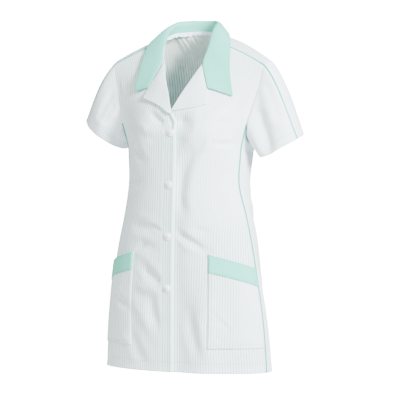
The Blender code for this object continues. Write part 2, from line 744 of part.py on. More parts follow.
def add_piping():
    lift = PIPING_RADIUS + 2 * LAY_GAP
    for side, name in SIDES:
        levels = stations(
            (HEM_LEVEL, RIB_LEVEL, HEM_TO_RIB_ROWS), (RIB_LEVEL, BUST_LEVEL, RIB_TO_BUST_ROWS)
        )
        seam = [
            lifted(lambda a, b: front_point(side, a, b), 1.0, level, lift, side)
            for level in levels[:-1] + [BUST_LEVEL - PIPING_SHORT]
        ]
        add_tube(f"side_piping_{name}", seam, PIPING_RADIUS, COTTON_MINT)
        seam = []
        for share in stations((0.10, 0.97, 8)):
            point = lifted(back_point, share, BACK_SHOULDER_LEVEL, lift, -1)
            seam.append(point if side > 0 else mirrored(point))
        for drop in stations((0.02, 0.995, 12)):
            seam.append(lifted(
                lambda a, b: folded_sleeve_point(side, a, b), 0.0, drop, lift, side
            ))
        add_tube(f"shoulder_piping_{name}", seam, PIPING_RADIUS, COTTON_MINT)


def centre_share(level):
    """Return the share of a front's width at which its centre line lies."""
    low, high = 0.0, 0.5
    for _ in range(30):
        middle = (low + high) / 2
        if front_point(-1, middle, level).x > 0:
            low = middle
        else:
            high = middle
    return low


def add_buttons():
    radius = BUTTON_RADIUS
    outline = [
        (0, 0.0022), (0.58 * radius, 0.0020), (0.74 * radius, 0.0030),
        (0.90 * radius, 0.0029), (radius, 0.0018), (0.92 * radius, 0.0004), (0, 0),
    ]
    steps = 20
    for number in range(BUTTON_COUNT):
        name = f"button_{number + 1}"
        mesh = bpy.data.meshes.new(name)
        edges = [(corner, corner + 1) for corner in range(len(outline) - 1)]
        mesh.from_pydata([(x, 0, z) for x, z in outline], edges, [])
        button = add_object(name, mesh, BUTTON_WHITE, roughness=0.25)
        turn = button.modifiers.new("turned", "SCREW")
        turn.steps = turn.render_steps = steps
        turn.use_merge_vertices = True
        turn.merge_threshold = 0.00001
        level = TOP_BUTTON_LEVEL - BUTTON_PITCH * number
        share = centre_share(level)
        seat = front_point(-1, share, level)
        raised = lifted(lambda a, b: front_point(-1, a, b), share, level, BUTTON_LIFT, -1)
        button.location = raised
        button.rotation_mode = "QUATERNION"
        button.rotation_quaternion = (raised - seat).to_track_quat("Z", "Y")


def add_label():
    rows = []
    for level in stations((*LABEL_LEVELS, 2)):
        row = []
        for share in (-LABEL_HALF_WIDTH, -LABEL_HALF_WIDTH / 3, LABEL_HALF_WIDTH / 3,
                      LABEL_HALF_WIDTH):
            width = back_upper(1.0, level).x
            row.append(lifted(
                back_upper, abs(share) / width, level, -(CLOTH + 3 * LAY_GAP), -1
            ))
            row[-1].x = share
        rows.append(row)
    add_wall("neck_label", rows, COTTON_WHITE, -1, wall=LABEL_WALL)


def clear_scene():
    for item in list(bpy.data.objects):
        bpy.data.objects.remove(item, do_unlink=True)


clear_scene()
bpy.context.scene.collection.children.link(bpy.data.collections.new(GARMENT))
add_fronts()
add_side_panels()
add_back()
add_sleeves()
add_collar()
add_lapels()
add_pockets()
add_piping()
add_buttons()
add_label()
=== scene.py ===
import math
from functools import partial

import bmesh
import bpy
import numpy as np
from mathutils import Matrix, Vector


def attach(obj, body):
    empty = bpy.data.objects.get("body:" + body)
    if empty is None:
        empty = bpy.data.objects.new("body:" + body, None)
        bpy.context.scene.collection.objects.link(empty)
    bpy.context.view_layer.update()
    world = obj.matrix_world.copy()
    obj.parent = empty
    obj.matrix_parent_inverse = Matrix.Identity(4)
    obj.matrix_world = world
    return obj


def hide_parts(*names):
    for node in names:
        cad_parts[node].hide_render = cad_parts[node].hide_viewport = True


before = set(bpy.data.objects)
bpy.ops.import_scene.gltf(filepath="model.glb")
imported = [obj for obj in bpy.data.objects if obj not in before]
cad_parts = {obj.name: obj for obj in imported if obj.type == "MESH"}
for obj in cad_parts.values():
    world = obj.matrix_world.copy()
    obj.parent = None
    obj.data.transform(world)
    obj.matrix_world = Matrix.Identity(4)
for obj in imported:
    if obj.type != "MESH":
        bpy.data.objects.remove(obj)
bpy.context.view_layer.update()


# ---- The two fronts ----------------------------------------------------------
# Each front is one length of striped cotton poplin, cut from shoulder to hem
# and eased over the bust. Its edge is folded back as a lap, and the wearer's
# right front buttons over the left.

SIDES = ((1, "left"), (-1, "right"))
LENGTHS = ("skirt", "waist", "upper")
CLOTH = 0.0012
# levels: hem, lowest rib, bust, foot of the neckline's seam, end of the shoulder
# seam, and the place where the lapel breaks from the lap
HEM, RIB, BUST, GORGE, SHOULDER, BREAK = -0.780, -0.275, -0.205, -0.070, -0.030, -0.180
HALF_LAP, LAP_SHARE = 0.017, 0.13
BUST_POINT, BUST_SPREAD, BUST_FULLNESS = (0.086, -0.213), (0.050, 0.055), 0.009
UNDER_LAP, UNDER_CORNER, HEM_ROLL = 0.0023, 0.0022, 0.0018
SEAM_DIP, SEAM_WIDTH = 0.0010, 0.0035

# level, half width, centre, front depth, back depth, front seam and back seam
# as angles from the centre front
BODY_RINGS = np.array([
    (-0.780, 0.2125, -0.011, 0.1055, 0.122, 84.5, 128.0),
    (-0.720, 0.2080, -0.014, 0.1030, 0.119, 86.0, 128.0),
    (-0.645, 0.2005, -0.017, 0.0990, 0.118, 87.0, 127.0),
    (-0.570, 0.1900, -0.019, 0.0970, 0.119, 86.5, 126.0),
    (-0.495, 0.1780, -0.016, 0.0980, 0.117, 84.5, 125.0),
    (-0.420, 0.1632, -0.010, 0.1010, 0.112, 81.0, 124.0),
    (-0.345, 0.1510, -0.006, 0.1010, 0.110, 74.5, 123.0),
    (-0.275, 0.1550, 0.000, 0.1035, 0.120, 72.5, 121.0),
])

# place round the armhole, x, y, z, and the place on the cuff below it
ARMHOLE = [
    (0, 0.198, -0.010, -0.068, 20), (1, 0.191, -0.017, -0.105, 50),
    (2, 0.182, -0.022, -0.138, 76), (3, 0.173, -0.028, -0.172, 102),
    (4, 0.165, -0.034, -0.203, 127), (5, 0.160, -0.022, -0.235, 154),
    (6, 0.159, 0.010, -0.252, 182), (7, 0.157, 0.043, -0.238, 212),
    (8, 0.156, 0.067, -0.205, 242), (9, 0.166, 0.076, -0.165, 270),
    (10, 0.183, 0.069, -0.119, 300), (11, 0.196, 0.050, -0.080, 330),
    (12, 0.201, 0.020, -0.057, 356),
]
ARMHOLE = np.array(
    [(-1, *ARMHOLE[12][1:4], -4)] + ARMHOLE
    + [(13, *ARMHOLE[0][1:4], 380), (14, *ARMHOLE[1][1:4], 410)]
)

# place along the neck seam from the centre back, x, y, z
NECK_SEAM = np.array([
    (-1, -0.040, 0.056, 0.006), (0, 0.000, 0.066, 0.008), (1, 0.040, 0.056, 0.006),
    (2, 0.066, 0.034, 0.001), (3, 0.073, -0.002, -0.016), (4, 0.064, -0.0165, -0.039),
    (5, 0.052, -0.031, -0.063),
])

# level, then the front's free edge, which becomes the fold of the lapel
FREE_EDGE = np.array([
    (-0.240, -0.010, -0.1140, -0.240), (-0.205, -0.017, -0.0990, -0.205),
    (-0.188, -0.010, -0.0975, -0.188), (-0.170, 0.002, -0.0950, -0.170),
    (-0.136, 0.018, -0.0770, -0.136), (-0.102, 0.0355, -0.0580, -0.101),
    (-0.070, 0.052, -0.0310, -0.063),
])

# level, place on the armhole, and how far the chest stands forward and up
CHEST = np.array([
    (-0.205, 4.00, 0.022, 0.000), (-0.170, 3.00, 0.012, 0.000),
    (-0.136, 2.00, 0.005, 0.000), (-0.102, 1.00, 0.003, 0.001),
    (-0.070, 0.45, 0.002, 0.002), (-0.030, 0.00, 0.001, 0.004),
])


def blend(a, b, share):
    return a + (b - a) * share


def fade(value, start, end):
    """Rise smoothly from 0 at the start to 1 at the end."""
    share = np.clip((value - start) / (end - start), 0, 1)
    return share * share * (3 - 2 * share)


def hump(run, middle, width):
    """Give a soft hump that is 1 in the middle."""
    return np.exp(-((run - middle) / width) ** 2)


def unit(ways):
    return ways / np.maximum(np.linalg.norm(ways, axis=-1, keepdims=True), 1e-12)


def eased(start, end, start_slope, end_slope, share):
    """Go from the start to the end, with the slopes given for both."""
    square, cube = share**2, share**3
    return (start * (2 * cube - 3 * square + 1) + start_slope * (cube - 2 * square + share)
            + end * (3 * square - 2 * cube) + end_slope * (cube - square))


def drawn(table, key):
    """Read a table between its rows, on a smooth curve; the key may be an array."""
    keys, values = table[:, 0], table[:, 1:]
    slopes = np.empty_like(values)
    slopes[1:-1] = (values[2:] - values[:-2]) / (keys[2:] - keys[:-2])[:, None]
    slopes[0] = (values[1] - values[0]) / (keys[1] - keys[0])
    slopes[-1] = (values[-1] - values[-2]) / (keys[-1] - keys[-2])
    key = np.asarray(key, float)
    low = np.clip(np.searchsorted(keys, key, side="right") - 1, 0, len(keys) - 2)
    span = (keys[low + 1] - keys[low])[..., None]
    share = (key - keys[low])[..., None] / span
    return eased(values[low], values[low + 1], slopes[low] * span, slopes[low + 1] * span, share)


def ruled(table, key, column):
    """Read one column of a table on straight lines between its rows."""
    return np.interp(key, table[:, 0], table[:, column])


def on_ring(angle, level):
    """Give points on the body's outline, at angles from the centre front."""
    ring = drawn(BODY_RINGS, level)
    depth = np.where(np.cos(angle) > 0, ring[..., 2], ring[..., 3])
    return np.stack([
        ring[..., 0] * np.sin(angle), ring[..., 1] - depth * np.cos(angle), level + 0 * angle
    ], axis=-1)


def front_below(share, level):
    """Give a front under the ribs: the lap, then round to the side seam."""
    ring = drawn(BODY_RINGS, level)
    lap = HALF_LAP / ring[..., 0]
    on_lap = np.arcsin(lap * np.clip(2 * share / LAP_SHARE - 1, -1, 1))
    beyond = np.clip((share - LAP_SHARE) / (1 - LAP_SHARE), 0, 1)
    past_lap = blend(np.arcsin(lap), np.radians(ring[..., 4]), beyond)
    return on_ring(np.where(share < LAP_SHARE, on_lap, past_lap), level)


def spanned(inner, outer, share, backward, up):
    """Span the cloth from neck to armhole, and let it stand out between them."""
    stand_out = np.stack([0 * share, backward, up], axis=-1)
    return blend(inner, outer, share[..., None]) + stand_out * np.sin(math.pi * share)[..., None]


def front_above(share, level):
    """Give a front over the bust, from its free edge or neck to the armhole."""
    rise = np.clip((level - GORGE) / (SHOULDER - GORGE), 0, 1)
    free = drawn(FREE_EDGE, np.minimum(level, GORGE))
    neck = drawn(NECK_SEAM, blend(5.0, 3.0, rise))
    inner = np.where((level <= GORGE)[..., None], free, neck)
    outer = drawn(ARMHOLE, ruled(CHEST, level, 1))[..., :3]
    chest = drawn(CHEST, level)
    return spanned(inner, outer, share, -chest[..., 1], chest[..., 2])


def joined(below, above, share, level):
    """Ease the part under the ribs into the part above the bust."""
    step, span = 0.001, BUST - RIB
    rib, bust = 0 * level + RIB, 0 * level + BUST
    start, end = below(share, rib), above(share, bust)
    start_slope = (start - below(share, rib - step)) * span / step
    end_slope = (above(share, bust + step) - end) * span / step
    middle = eased(start, end, start_slope, end_slope,
                   np.clip((level - RIB) / span, 0, 1)[..., None])
    low = below(share, np.minimum(level, RIB))
    high = above(share, np.maximum(level, BUST))
    level = level[..., None]
    return np.where(level <= RIB, low, np.where(level >= BUST, high, middle))


def front_shape(side, share, level):
    """Give the outer face of a front; side is 1 for the wearer's left."""
    share, level = np.broadcast_arrays(np.asarray(share, float), np.asarray(level, float))
    points = joined(front_below, front_above, share, level)
    x, z = points[..., 0], points[..., 2]
    full = hump(x, BUST_POINT[0], BUST_SPREAD[0]) * hump(z, BUST_POINT[1], BUST_SPREAD[1])
    full *= fade(x, HALF_LAP, 4 * HALF_LAP) * (1 - fade(share, 0.75, 1.0))
    points[..., 1] -= BUST_FULLNESS * full
    if side > 0:
        under = (1 - fade(x, 0.028, 0.064)) * (1 - fade(level, -0.166, -0.135))
        corner = (1 - fade(np.abs(level + 0.186), 0.0, 0.026)) * (1 - fade(share, 0.0, 0.25))
        points[..., 1] += UNDER_LAP * under + UNDER_CORNER * corner
    else:
        points[..., 0] *= -1
    return points


def facing(points, outward):
    """Give the outward direction at each point of a grid."""
    return unit(np.cross(np.gradient(points, axis=1), np.gradient(points, axis=0)) * outward)


def pressed(points, outward, depth):
    """Press a grid of points in by so much at each of them."""
    return points - facing(points, outward) * np.asarray(depth)[..., None]


def run_across(points, start):
    """Measure each row of a grid from one of its columns."""
    steps = np.linalg.norm(np.diff(points, axis=1), axis=-1)
    run = np.concatenate([np.zeros((len(points), 1)), np.cumsum(steps, axis=1)], axis=1)
    return run - run[np.arange(len(points)), start][:, None]


def run_up(points):
    """Measure each column of a grid from its first row."""
    steps = np.linalg.norm(np.diff(points, axis=0), axis=-1)
    return np.concatenate([np.zeros((1, points.shape[1])), np.cumsum(steps, axis=0)], axis=0)


def evenly(*spans):
    """Join runs of even steps, each given as its start, its end and its count."""
    runs = [np.linspace(*span) for span in spans]
    return np.concatenate([run[:-1] for run in runs[:-1]] + runs[-1:])


def trough(away):
    """Give the depth of a soft trough that lies between two low ridges."""
    return hump(away, 0, 1) - 0.30 * hump(away, 1.9, math.sqrt(0.7))


def soft_folds(a, b, folds):
    """Add up soft folds over two coordinates.

    A fold runs from one place to another, bows to one side, and tapers at its
    ends. A depth below 0 makes it a ridge.
    """
    depth = np.zeros_like(a)
    for from_a, from_b, to_a, to_b, bow, width, deep in folds:
        run_a, run_b = to_a - from_a, to_b - from_b
        length = math.hypot(run_a, run_b)
        along = ((a - from_a) * run_a + (b - from_b) * run_b) / length**2
        away = ((a - from_a) * run_b - (b - from_b) * run_a) / length
        inside = np.clip(along, 0, 1)
        away = away - bow * 4 * inside * (1 - inside)
        past = (along - inside) * length
        taper = 0.25 + 0.75 * fade(inside, 0, 0.3) * (1 - fade(inside, 0.65, 1))
        depth += deep * taper * trough(np.hypot(away, past) / width)
    return depth


def grid_mesh(name, points, outward, maps, finish):
    """Make a smooth mesh of a grid of points, with its UV maps and its finish."""
    rows, columns = points.shape[:2]
    first = (np.arange(rows - 1)[:, None] * columns + np.arange(columns - 1)).ravel()
    corners = np.stack([first, first + 1, first + columns + 1, first + columns], axis=1)
    if outward < 0:
        corners = corners[:, ::-1]
    mesh = bpy.data.meshes.new(name)
    mesh.from_pydata(points.reshape(-1, 3).tolist(), [], corners.tolist())
    mesh.shade_smooth()
    for map_name, (u, v) in maps.items():
        pairs = np.stack([u.ravel(), v.ravel()], axis=1)[corners.ravel()]
        mesh.uv_layers.new(name=map_name).data.foreach_set("uv", pairs.ravel())
    mesh.materials.append(finish)
    return mesh


def place_piece(name, data):
    piece = bpy.data.objects.new(name, data)
    bpy.context.scene.collection.objects.link(piece)
    return piece


def make_cloth(name, points, outward, across, finish, wall=CLOTH, wrong_side=None):
    """Make a piece of cloth from a grid, with its own run and its edges as UVs."""
    up = run_up(points)
    mesh = grid_mesh(name, points, outward, {
        "cloth": (across, up),
        "sides": (np.abs(across - across[:, :1]), np.abs(across[:, -1:] - across)),
        "ends": (up, up[-1:] - up),
    }, finish)
    piece = place_piece(name, mesh)
    body = piece.modifiers.new("cloth", "SOLIDIFY")
    body.thickness = wall
    body.offset = -1
    if wrong_side:
        mesh.materials.append(wrong_side)
        body.material_offset = 1
    return piece


def tie(piece, slot, *nodes):
    """Tie a piece to the tunic, and hide the solids it stands for; its slot is not used."""
    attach(piece, "root")
    if nodes:
        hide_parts(*nodes)


def declare_cloth(piece, points, slot, *nodes, held="stretched"):
    """Tie a piece of cloth to the tunic and hide its solids; its points and held are not used."""
    tie(piece, slot, *nodes)


COTTON = {"Roughness": 0.82, "Sheen Weight": 0.18, "Sheen Roughness": 0.45,
          "Specular IOR Level": 0.32}
WHITE, STRIPE = (0.765, 0.862, 0.952), (0.365, 0.595, 0.575)
# the first colour is painted highlight, a pale strip along the lap's rolled edge and beside the
# piping
PAINTED_HIGHLIGHT_WHITE, LAP_TINT, BRIM_WHITE = (0.70, 0.86, 0.90), (0.925, 0.985, 0.975), (0.76, 0.94, 0.96)
# painted shade that darkens the pinched groove of each sewn line
PAINTED_PINCH_SHADE = (0.86, 0.88, 0.88)
# the last of these is the share of the stripes that painted highlight washes out
STRIPE_PITCH, STRIPE_SHARE, STRIPE_BLUR, HIGHLIGHT_FADING = 0.0064, 0.34, 0.06, 0.70
YARN_TURNS, YARN_HEIGHT, CRUMPLE_HEIGHT = 9000.0, 0.00002, 0.0016
# a sewn line pinches the cloth; a stitch, the share of it that shows, and its thread
PINCH_WIDTH, PINCH_DEPTH = 0.0022, 0.00045
STITCH, STITCH_SHARE, THREAD, THREAD_HEIGHT = 0.0028, 0.72, 0.00045, 0.00022


def add_node(tree, kind, feeds=None, **settings):
    """Add a shader node, and feed its sockets with values or with other outputs."""
    node = tree.nodes.new(f"ShaderNode{kind}")
    for name, value in settings.items():
        setattr(node, name, value)
    for socket, value in (feeds or {}).items():
        if isinstance(value, bpy.types.NodeSocket):
            tree.links.new(value, node.inputs[socket])
        else:
            node.inputs[socket].default_value = value
    return node


def poplin(name, colour, stripe=None, sewn=(), painted_highlight_edge=None, painted_highlight_fade=None, lap=None):
    """Make plain-woven cotton, with stripes in the yarn and sewn lines.

    A sewn line is a UV map, which of its two runs, and the run's value; painted
    shade darkens its pinched groove. A painted highlight edge is a pale strip with
    no stripes up to such a value. The stripes fade past the given runs across and
    up, as painted highlight washes them out. A lap is folded double, so that its
    width looks a little deeper in colour than the rest, with a pale brim.
    """
    finish = bpy.data.materials.new(name)
    finish.use_nodes = True
    tree = finish.node_tree
    shader = tree.nodes["Principled BSDF"]
    for socket, value in COTTON.items():
        shader.inputs[socket].default_value = value
    add = partial(add_node, tree)

    def maths(operation, first, second=None, clamp=False):
        feeds = {0: first} if second is None else {0: first, 1: second}
        return add("Math", feeds, operation=operation, use_clamp=clamp).outputs[0]

    def mixed(share, first, second, blend_type="MIX"):
        feeds = {"Factor": share, "A": first, "B": second}
        return add("Mix", feeds, data_type="RGBA", blend_type=blend_type).outputs["Result"]

    def faded(value, start, end):
        feeds = {"Value": value, "From Min": start, "From Max": end}
        return add("MapRange", feeds, interpolation_type="SMOOTHSTEP").outputs[0]

    def runs(map_name):
        split = add("SeparateXYZ", {0: add("UVMap", uv_map=map_name).outputs[0]})
        return split.outputs[0], split.outputs[1]

    def near(run, value, width):
        """Give 1 on a line, falling to 0 beyond the width, and how far off it is."""
        away = maths("ABSOLUTE", maths("SUBTRACT", run, value))
        return maths("SUBTRACT", 1.0, maths("DIVIDE", away, width), clamp=True), away

    across, up = runs("cloth")
    place = add("TexCoord").outputs["Object"]
    painted = (*colour, 1)
    if stripe:
        turn = maths("FRACT", maths("ADD", maths("DIVIDE", across, STRIPE_PITCH), 100.0))
        off_line = maths("ABSOLUTE", maths("SUBTRACT", turn, 0.5))
        striped = faded(off_line, STRIPE_SHARE / 2 + STRIPE_BLUR, STRIPE_SHARE / 2 - STRIPE_BLUR)
        # painted highlight: the stripes stop short of the edge
        if painted_highlight_edge:
            map_name, which, value = painted_highlight_edge
            past = maths("GREATER_THAN", runs(map_name)[which], value)
            striped = maths("MULTIPLY", striped, past)
        # painted highlight: the stripes are washed out past the given runs
        if painted_highlight_fade:
            weaker = maths("MULTIPLY", faded(across, painted_highlight_fade[0], painted_highlight_fade[0] + 0.030),
                           faded(up, painted_highlight_fade[1], painted_highlight_fade[1] + 0.080))
            weaker = maths("SUBTRACT", 1.0, maths("MULTIPLY", weaker, HIGHLIGHT_FADING))
            striped = maths("MULTIPLY", striped, weaker)
        painted = mixed(striped, painted, (*stripe, 1))
        # painted highlight: the strip by the edge is painted pale
        if painted_highlight_edge:
            painted = mixed(past, (*PAINTED_HIGHLIGHT_WHITE, 1), painted)
        if lap:
            run = runs("sides")[0]
            doubled = maths("LESS_THAN", run, lap)
            painted = mixed(doubled, painted, (*LAP_TINT, 1), "MULTIPLY")
            brim, _ = near(run, lap - 0.0035, 0.0030)
            painted = mixed(maths("MULTIPLY", brim, 0.9), painted, (*BRIM_WHITE, 1))
    mottle = add("TexNoise", {"Scale": 9.0, "Detail": 3.0, "Vector": place}).outputs["Fac"]
    tone = add("MapRange", {"Value": mottle, "To Min": 0.975, "To Max": 1.02}).outputs[0]
    painted = mixed(1.0, painted, tone, "MULTIPLY")

    yarns = maths("MULTIPLY", maths("SINE", maths("MULTIPLY", across, YARN_TURNS)),
                  maths("SINE", maths("MULTIPLY", up, YARN_TURNS)))
    crumple = add("TexNoise", {"Scale": 26.0, "Detail": 2.5, "Roughness": 0.45, "Vector": place})
    height = maths("ADD", maths("MULTIPLY", yarns, YARN_HEIGHT),
                   maths("MULTIPLY", crumple.outputs["Fac"], CRUMPLE_HEIGHT))
    for map_name, which, value in sewn:
        run = runs(map_name)
        pinch, away = near(run[which], value, PINCH_WIDTH)
        height = maths("SUBTRACT", height, maths("MULTIPLY", pinch, PINCH_DEPTH))
        turn = maths("FRACT", maths("ADD", maths("DIVIDE", run[1 - which], STITCH), 50.0))
        stitch = maths("MULTIPLY", maths("LESS_THAN", away, THREAD),
                       maths("LESS_THAN", turn, STITCH_SHARE))
        height = maths("ADD", height, maths("MULTIPLY", stitch, THREAD_HEIGHT))
        # painted shade in the pinched groove of the sewn line
        painted = mixed(maths("MULTIPLY", pinch, 0.55), painted, (*PAINTED_PINCH_SHADE, 1), "MULTIPLY")
    bump = add("Bump", {"Strength": 1.0, "Distance": 1.0, "Height": height})
    tree.links.new(bump.outputs[0], shader.inputs["Normal"])
    tree.links.new(painted, shader.inputs["Base Color"])
    return finish


HEM_TURN, LAP_TURN = 0.022, 0.040
hem_stitches = ("ends", 0, HEM_TURN)
striped_front = {
    # the under front's stripes fade on its upper, outer part, as painted highlight
    1: poplin("striped_poplin_under_front", WHITE, STRIPE, sewn=[hem_stitches],
              painted_highlight_fade=(0.040, 0.300)),
    # the over front's lap has a pale unstriped strip of painted highlight along its rolled edge
    -1: poplin("striped_poplin_over_front", WHITE, STRIPE,
               sewn=[hem_stitches, ("sides", 0, LAP_TURN)],
               painted_highlight_edge=("sides", 0, 0.0080), lap=LAP_TURN),
}

# from x, from z, to x, to z, bow, width, depth, seen from straight ahead
FRONT_FOLDS = [
    (-0.059, -0.178, -0.010, -0.208, 0.003, 0.0075, 0.0050),
    (-0.082, -0.209, -0.026, -0.224, 0.002, 0.0100, -0.0032),
    (-0.108, -0.252, -0.076, -0.292, 0.003, 0.0105, 0.0048),
    (-0.184, -0.104, -0.172, -0.150, 0.003, 0.0070, 0.0018),
    (-0.138, -0.322, -0.080, -0.344, 0.004, 0.0110, 0.0030),
    (-0.136, -0.372, -0.090, -0.366, 0.003, 0.0090, 0.0020),
    (-0.112, -0.441, -0.026, -0.458, -0.003, 0.0125, 0.0050),
    (-0.014, -0.455, -0.050, -0.442, 0.001, 0.0050, 0.0026),
    (-0.090, -0.476, -0.026, -0.492, 0.003, 0.0140, 0.0036),
    (-0.100, -0.501, -0.060, -0.483, 0.002, 0.0065, 0.0034),
    (-0.070, -0.534, -0.012, -0.574, 0.004, 0.0115, 0.0066),
    (-0.094, -0.578, -0.012, -0.594, 0.003, 0.0100, -0.0030),
    (-0.104, -0.598, -0.032, -0.700, 0.004, 0.0135, -0.0030),
    (-0.046, -0.598, -0.026, -0.680, 0.003, 0.0120, 0.0050),
    (-0.106, -0.684, -0.058, -0.770, 0.003, 0.0125, 0.0036),
    (-0.162, -0.600, -0.116, -0.632, 0.003, 0.0090, 0.0044),
    (-0.168, -0.706, -0.112, -0.724, 0.002, 0.0080, 0.0028),
    (0.014, -0.192, 0.066, -0.214, 0.003, 0.0150, 0.0042),
    (0.080, -0.190, 0.124, -0.170, 0.002, 0.0110, -0.0036),
    (0.118, -0.180, 0.158, -0.150, 0.002, 0.0080, 0.0034),
    (0.112, -0.206, 0.156, -0.188, 0.002, 0.0080, 0.0022),
    (0.104, -0.250, 0.147, -0.247, 0.002, 0.0065, 0.0042),
    (0.138, -0.232, 0.151, -0.226, 0.000, 0.0036, 0.0016),
    (0.135, -0.240, 0.150, -0.236, 0.000, 0.0036, 0.0014),
    (0.077, -0.270, 0.100, -0.236, 0.002, 0.0065, -0.0026),
    (0.068, -0.248, 0.026, -0.388, 0.013, 0.0150, 0.0064),
    (0.023, -0.366, 0.045, -0.420, 0.002, 0.0120, 0.0032),
    (0.128, -0.306, 0.143, -0.282, 0.001, 0.0060, -0.0018),
    (0.130, -0.324, 0.147, -0.296, 0.002, 0.0065, 0.0030),
    (0.104, -0.392, 0.150, -0.402, 0.003, 0.0100, 0.0014),
    (0.064, -0.442, 0.098, -0.454, 0.001, 0.0060, 0.0022),
    (0.020, -0.455, 0.096, -0.499, 0.000, 0.0080, 0.0064),
    (0.096, -0.560, 0.094, -0.810, 0.000, 0.0280, -0.0112),
    (0.056, -0.640, 0.090, -0.756, 0.003, 0.0130, 0.0056),
    (0.111, -0.636, 0.148, -0.680, 0.002, 0.0050, 0.0024),
    (0.108, -0.650, 0.128, -0.668, 0.001, 0.0044, 0.0020),
    (0.116, -0.690, 0.136, -0.706, 0.001, 0.0050, 0.0014),
    (0.152, -0.724, 0.196, -0.704, 0.002, 0.0090, 0.0026),
]


def front_sheet(side, share, level):
    """Give a front's outer face with its folds, and the rolled edge of its lap."""
    share, level = np.broadcast_arrays(share, level)
    points = front_shape(side, share, level)
    x = points[..., 0]
    quiet = (1 - fade(share, 0.93, 1.0)) * fade(np.abs(x), 0.012, 0.026)
    points[..., 1] += soft_folds(x, points[..., 2], FRONT_FOLDS) * quiet
    if side < 0:
        # a ridge inside the lap's edge, the edge turned down, and the break's pull
        run = np.abs(front_shape(side, 0 * share, level)[..., 0] - x)
        roll = 0.0017 * hump(run, 0.0062, 0.0045) - 0.0014 * hump(run, 0, 0.0028)
        roll -= 0.0034 * hump(level, -0.196, 0.022) * hump(run, 0.0135, 0.0045)
        points[..., 1] -= roll * (1 - fade(level, -0.182, -0.168))
    else:
        valley = 0.0045 * hump(x, 0.021, 0.016)
        points[..., 1] += valley * (1 - fade(level, -0.200, BREAK))
    points[..., 1] -= HEM_ROLL * (1 - fade(level, HEM, HEM + 0.012))
    return points


front_levels = evenly((HEM, RIB, 130), (RIB, BUST, 26), (BUST, SHOULDER, 62))[:, None]
front_shares = evenly((0, LAP_SHARE, 12), (LAP_SHARE, 1, 64))[None, :]
for side, side_name in SIDES:
    points = front_sheet(side, front_shares, front_levels)
    across = run_across(points, 0)
    dip = SEAM_DIP * (1 - fade(front_levels, -0.190, -0.150))
    points = pressed(points, side, dip * hump(across, across[:, -1:], SEAM_WIDTH))
    lapped = front_levels[:, 0] < BREAK
    centre = np.where(lapped, np.argmin(np.abs(points[..., 0]), axis=1), 0)
    across = run_across(points, centre)
    across[~lapped] += points[~lapped, 0, 0:1] * side
    piece = make_cloth(f"front_{side_name}_cloth", points, side, across * side,
                       striped_front[side])
    declare_cloth(piece, points, "white_cotton",
                  *[f"front_{side_name}_{length}" for length in LENGTHS])


# ---- The back ----------------------------------------------------------------
# One piece of the same poplin from the hem over the shoulders to the piped
# seam in front of them. It is gathered a little under the neck seam.

NECK_BACK, SHOULDER_SEAM, NECK_HEIGHT = -0.030, 0.030, 0.008
# level, place on the neck seam, centre y and z, place on the armhole, and how
# far the back stands out backwards and up
BACK_YOKE = np.array([
    (-0.205, 0, 0.124, -0.205, 8.00, 0.0170, 0.000),
    (-0.155, 0, 0.118, -0.140, 9.00, 0.0145, 0.000),
    (-0.105, 0, 0.105, -0.075, 10.00, 0.0120, 0.002),
    (-0.060, 0, 0.086, -0.024, 11.00, 0.0100, 0.006),
    (-0.030, 0, 0.066, 0.008, 12.00, 0.0080, 0.011),
    (-0.010, 1, 0.066, 0.008, 12.35, 0.0040, 0.009),
    (0.008, 2, 0.066, 0.008, 12.65, 0.0010, 0.006),
    (0.030, 3, 0.066, 0.008, 13.00, 0.0000, 0.004),
])

# from x, from z, to x, to z, bow, width, depth, seen from straight behind
BACK_FOLDS = [
    (-0.105, -0.352, -0.012, -0.374, -0.006, 0.013, 0.0036),
    (0.014, -0.366, 0.112, -0.342, 0.008, 0.014, 0.0040),
    (0.030, -0.404, 0.122, -0.398, 0.005, 0.012, 0.0024),
    (-0.118, -0.402, -0.040, -0.392, 0.004, 0.011, 0.0026),
    (0.078, -0.520, 0.090, -0.790, 0.004, 0.020, 0.0034),
    (-0.062, -0.500, -0.072, -0.790, -0.006, 0.022, 0.0038),
    (0.014, -0.600, 0.010, -0.790, 0.002, 0.018, 0.0020),
    (-0.150, -0.170, -0.088, -0.255, 0.006, 0.015, 0.0034),
    (0.150, -0.165, 0.094, -0.270, -0.008, 0.015, 0.0036),
    (-0.060, -0.110, -0.130, -0.070, 0.004, 0.016, 0.0022),
    (0.050, -0.100, 0.140, -0.075, -0.004, 0.015, 0.0020),
]

# x at the top, x at the bottom, z at the bottom, width and depth of each gather
NECK_GATHERS = [
    (-0.068, -0.056, -0.040, 0.0044, 0.00378), (-0.058, -0.040, -0.052, 0.0040, 0.00486),
    (-0.047, -0.032, -0.036, 0.0038, 0.00459), (-0.037, -0.018, -0.056, 0.0038, 0.00567),
    (-0.026, -0.012, -0.034, 0.0036, 0.00432), (-0.015, 0.003, -0.050, 0.0040, 0.00540),
    (-0.004, 0.008, -0.032, 0.0036, 0.00405), (0.007, 0.022, -0.044, 0.0040, 0.00459),
    (0.018, 0.028, -0.030, 0.0036, 0.00378), (0.030, 0.044, -0.044, 0.0042, 0.00459),
    (0.043, 0.054, -0.034, 0.0038, 0.00351), (0.057, 0.070, -0.042, 0.0044, 0.00324),
]


def back_below(share, level):
    seam = np.radians(drawn(BODY_RINGS, level)[..., 5])
    return on_ring(blend(math.pi, seam, share), level)


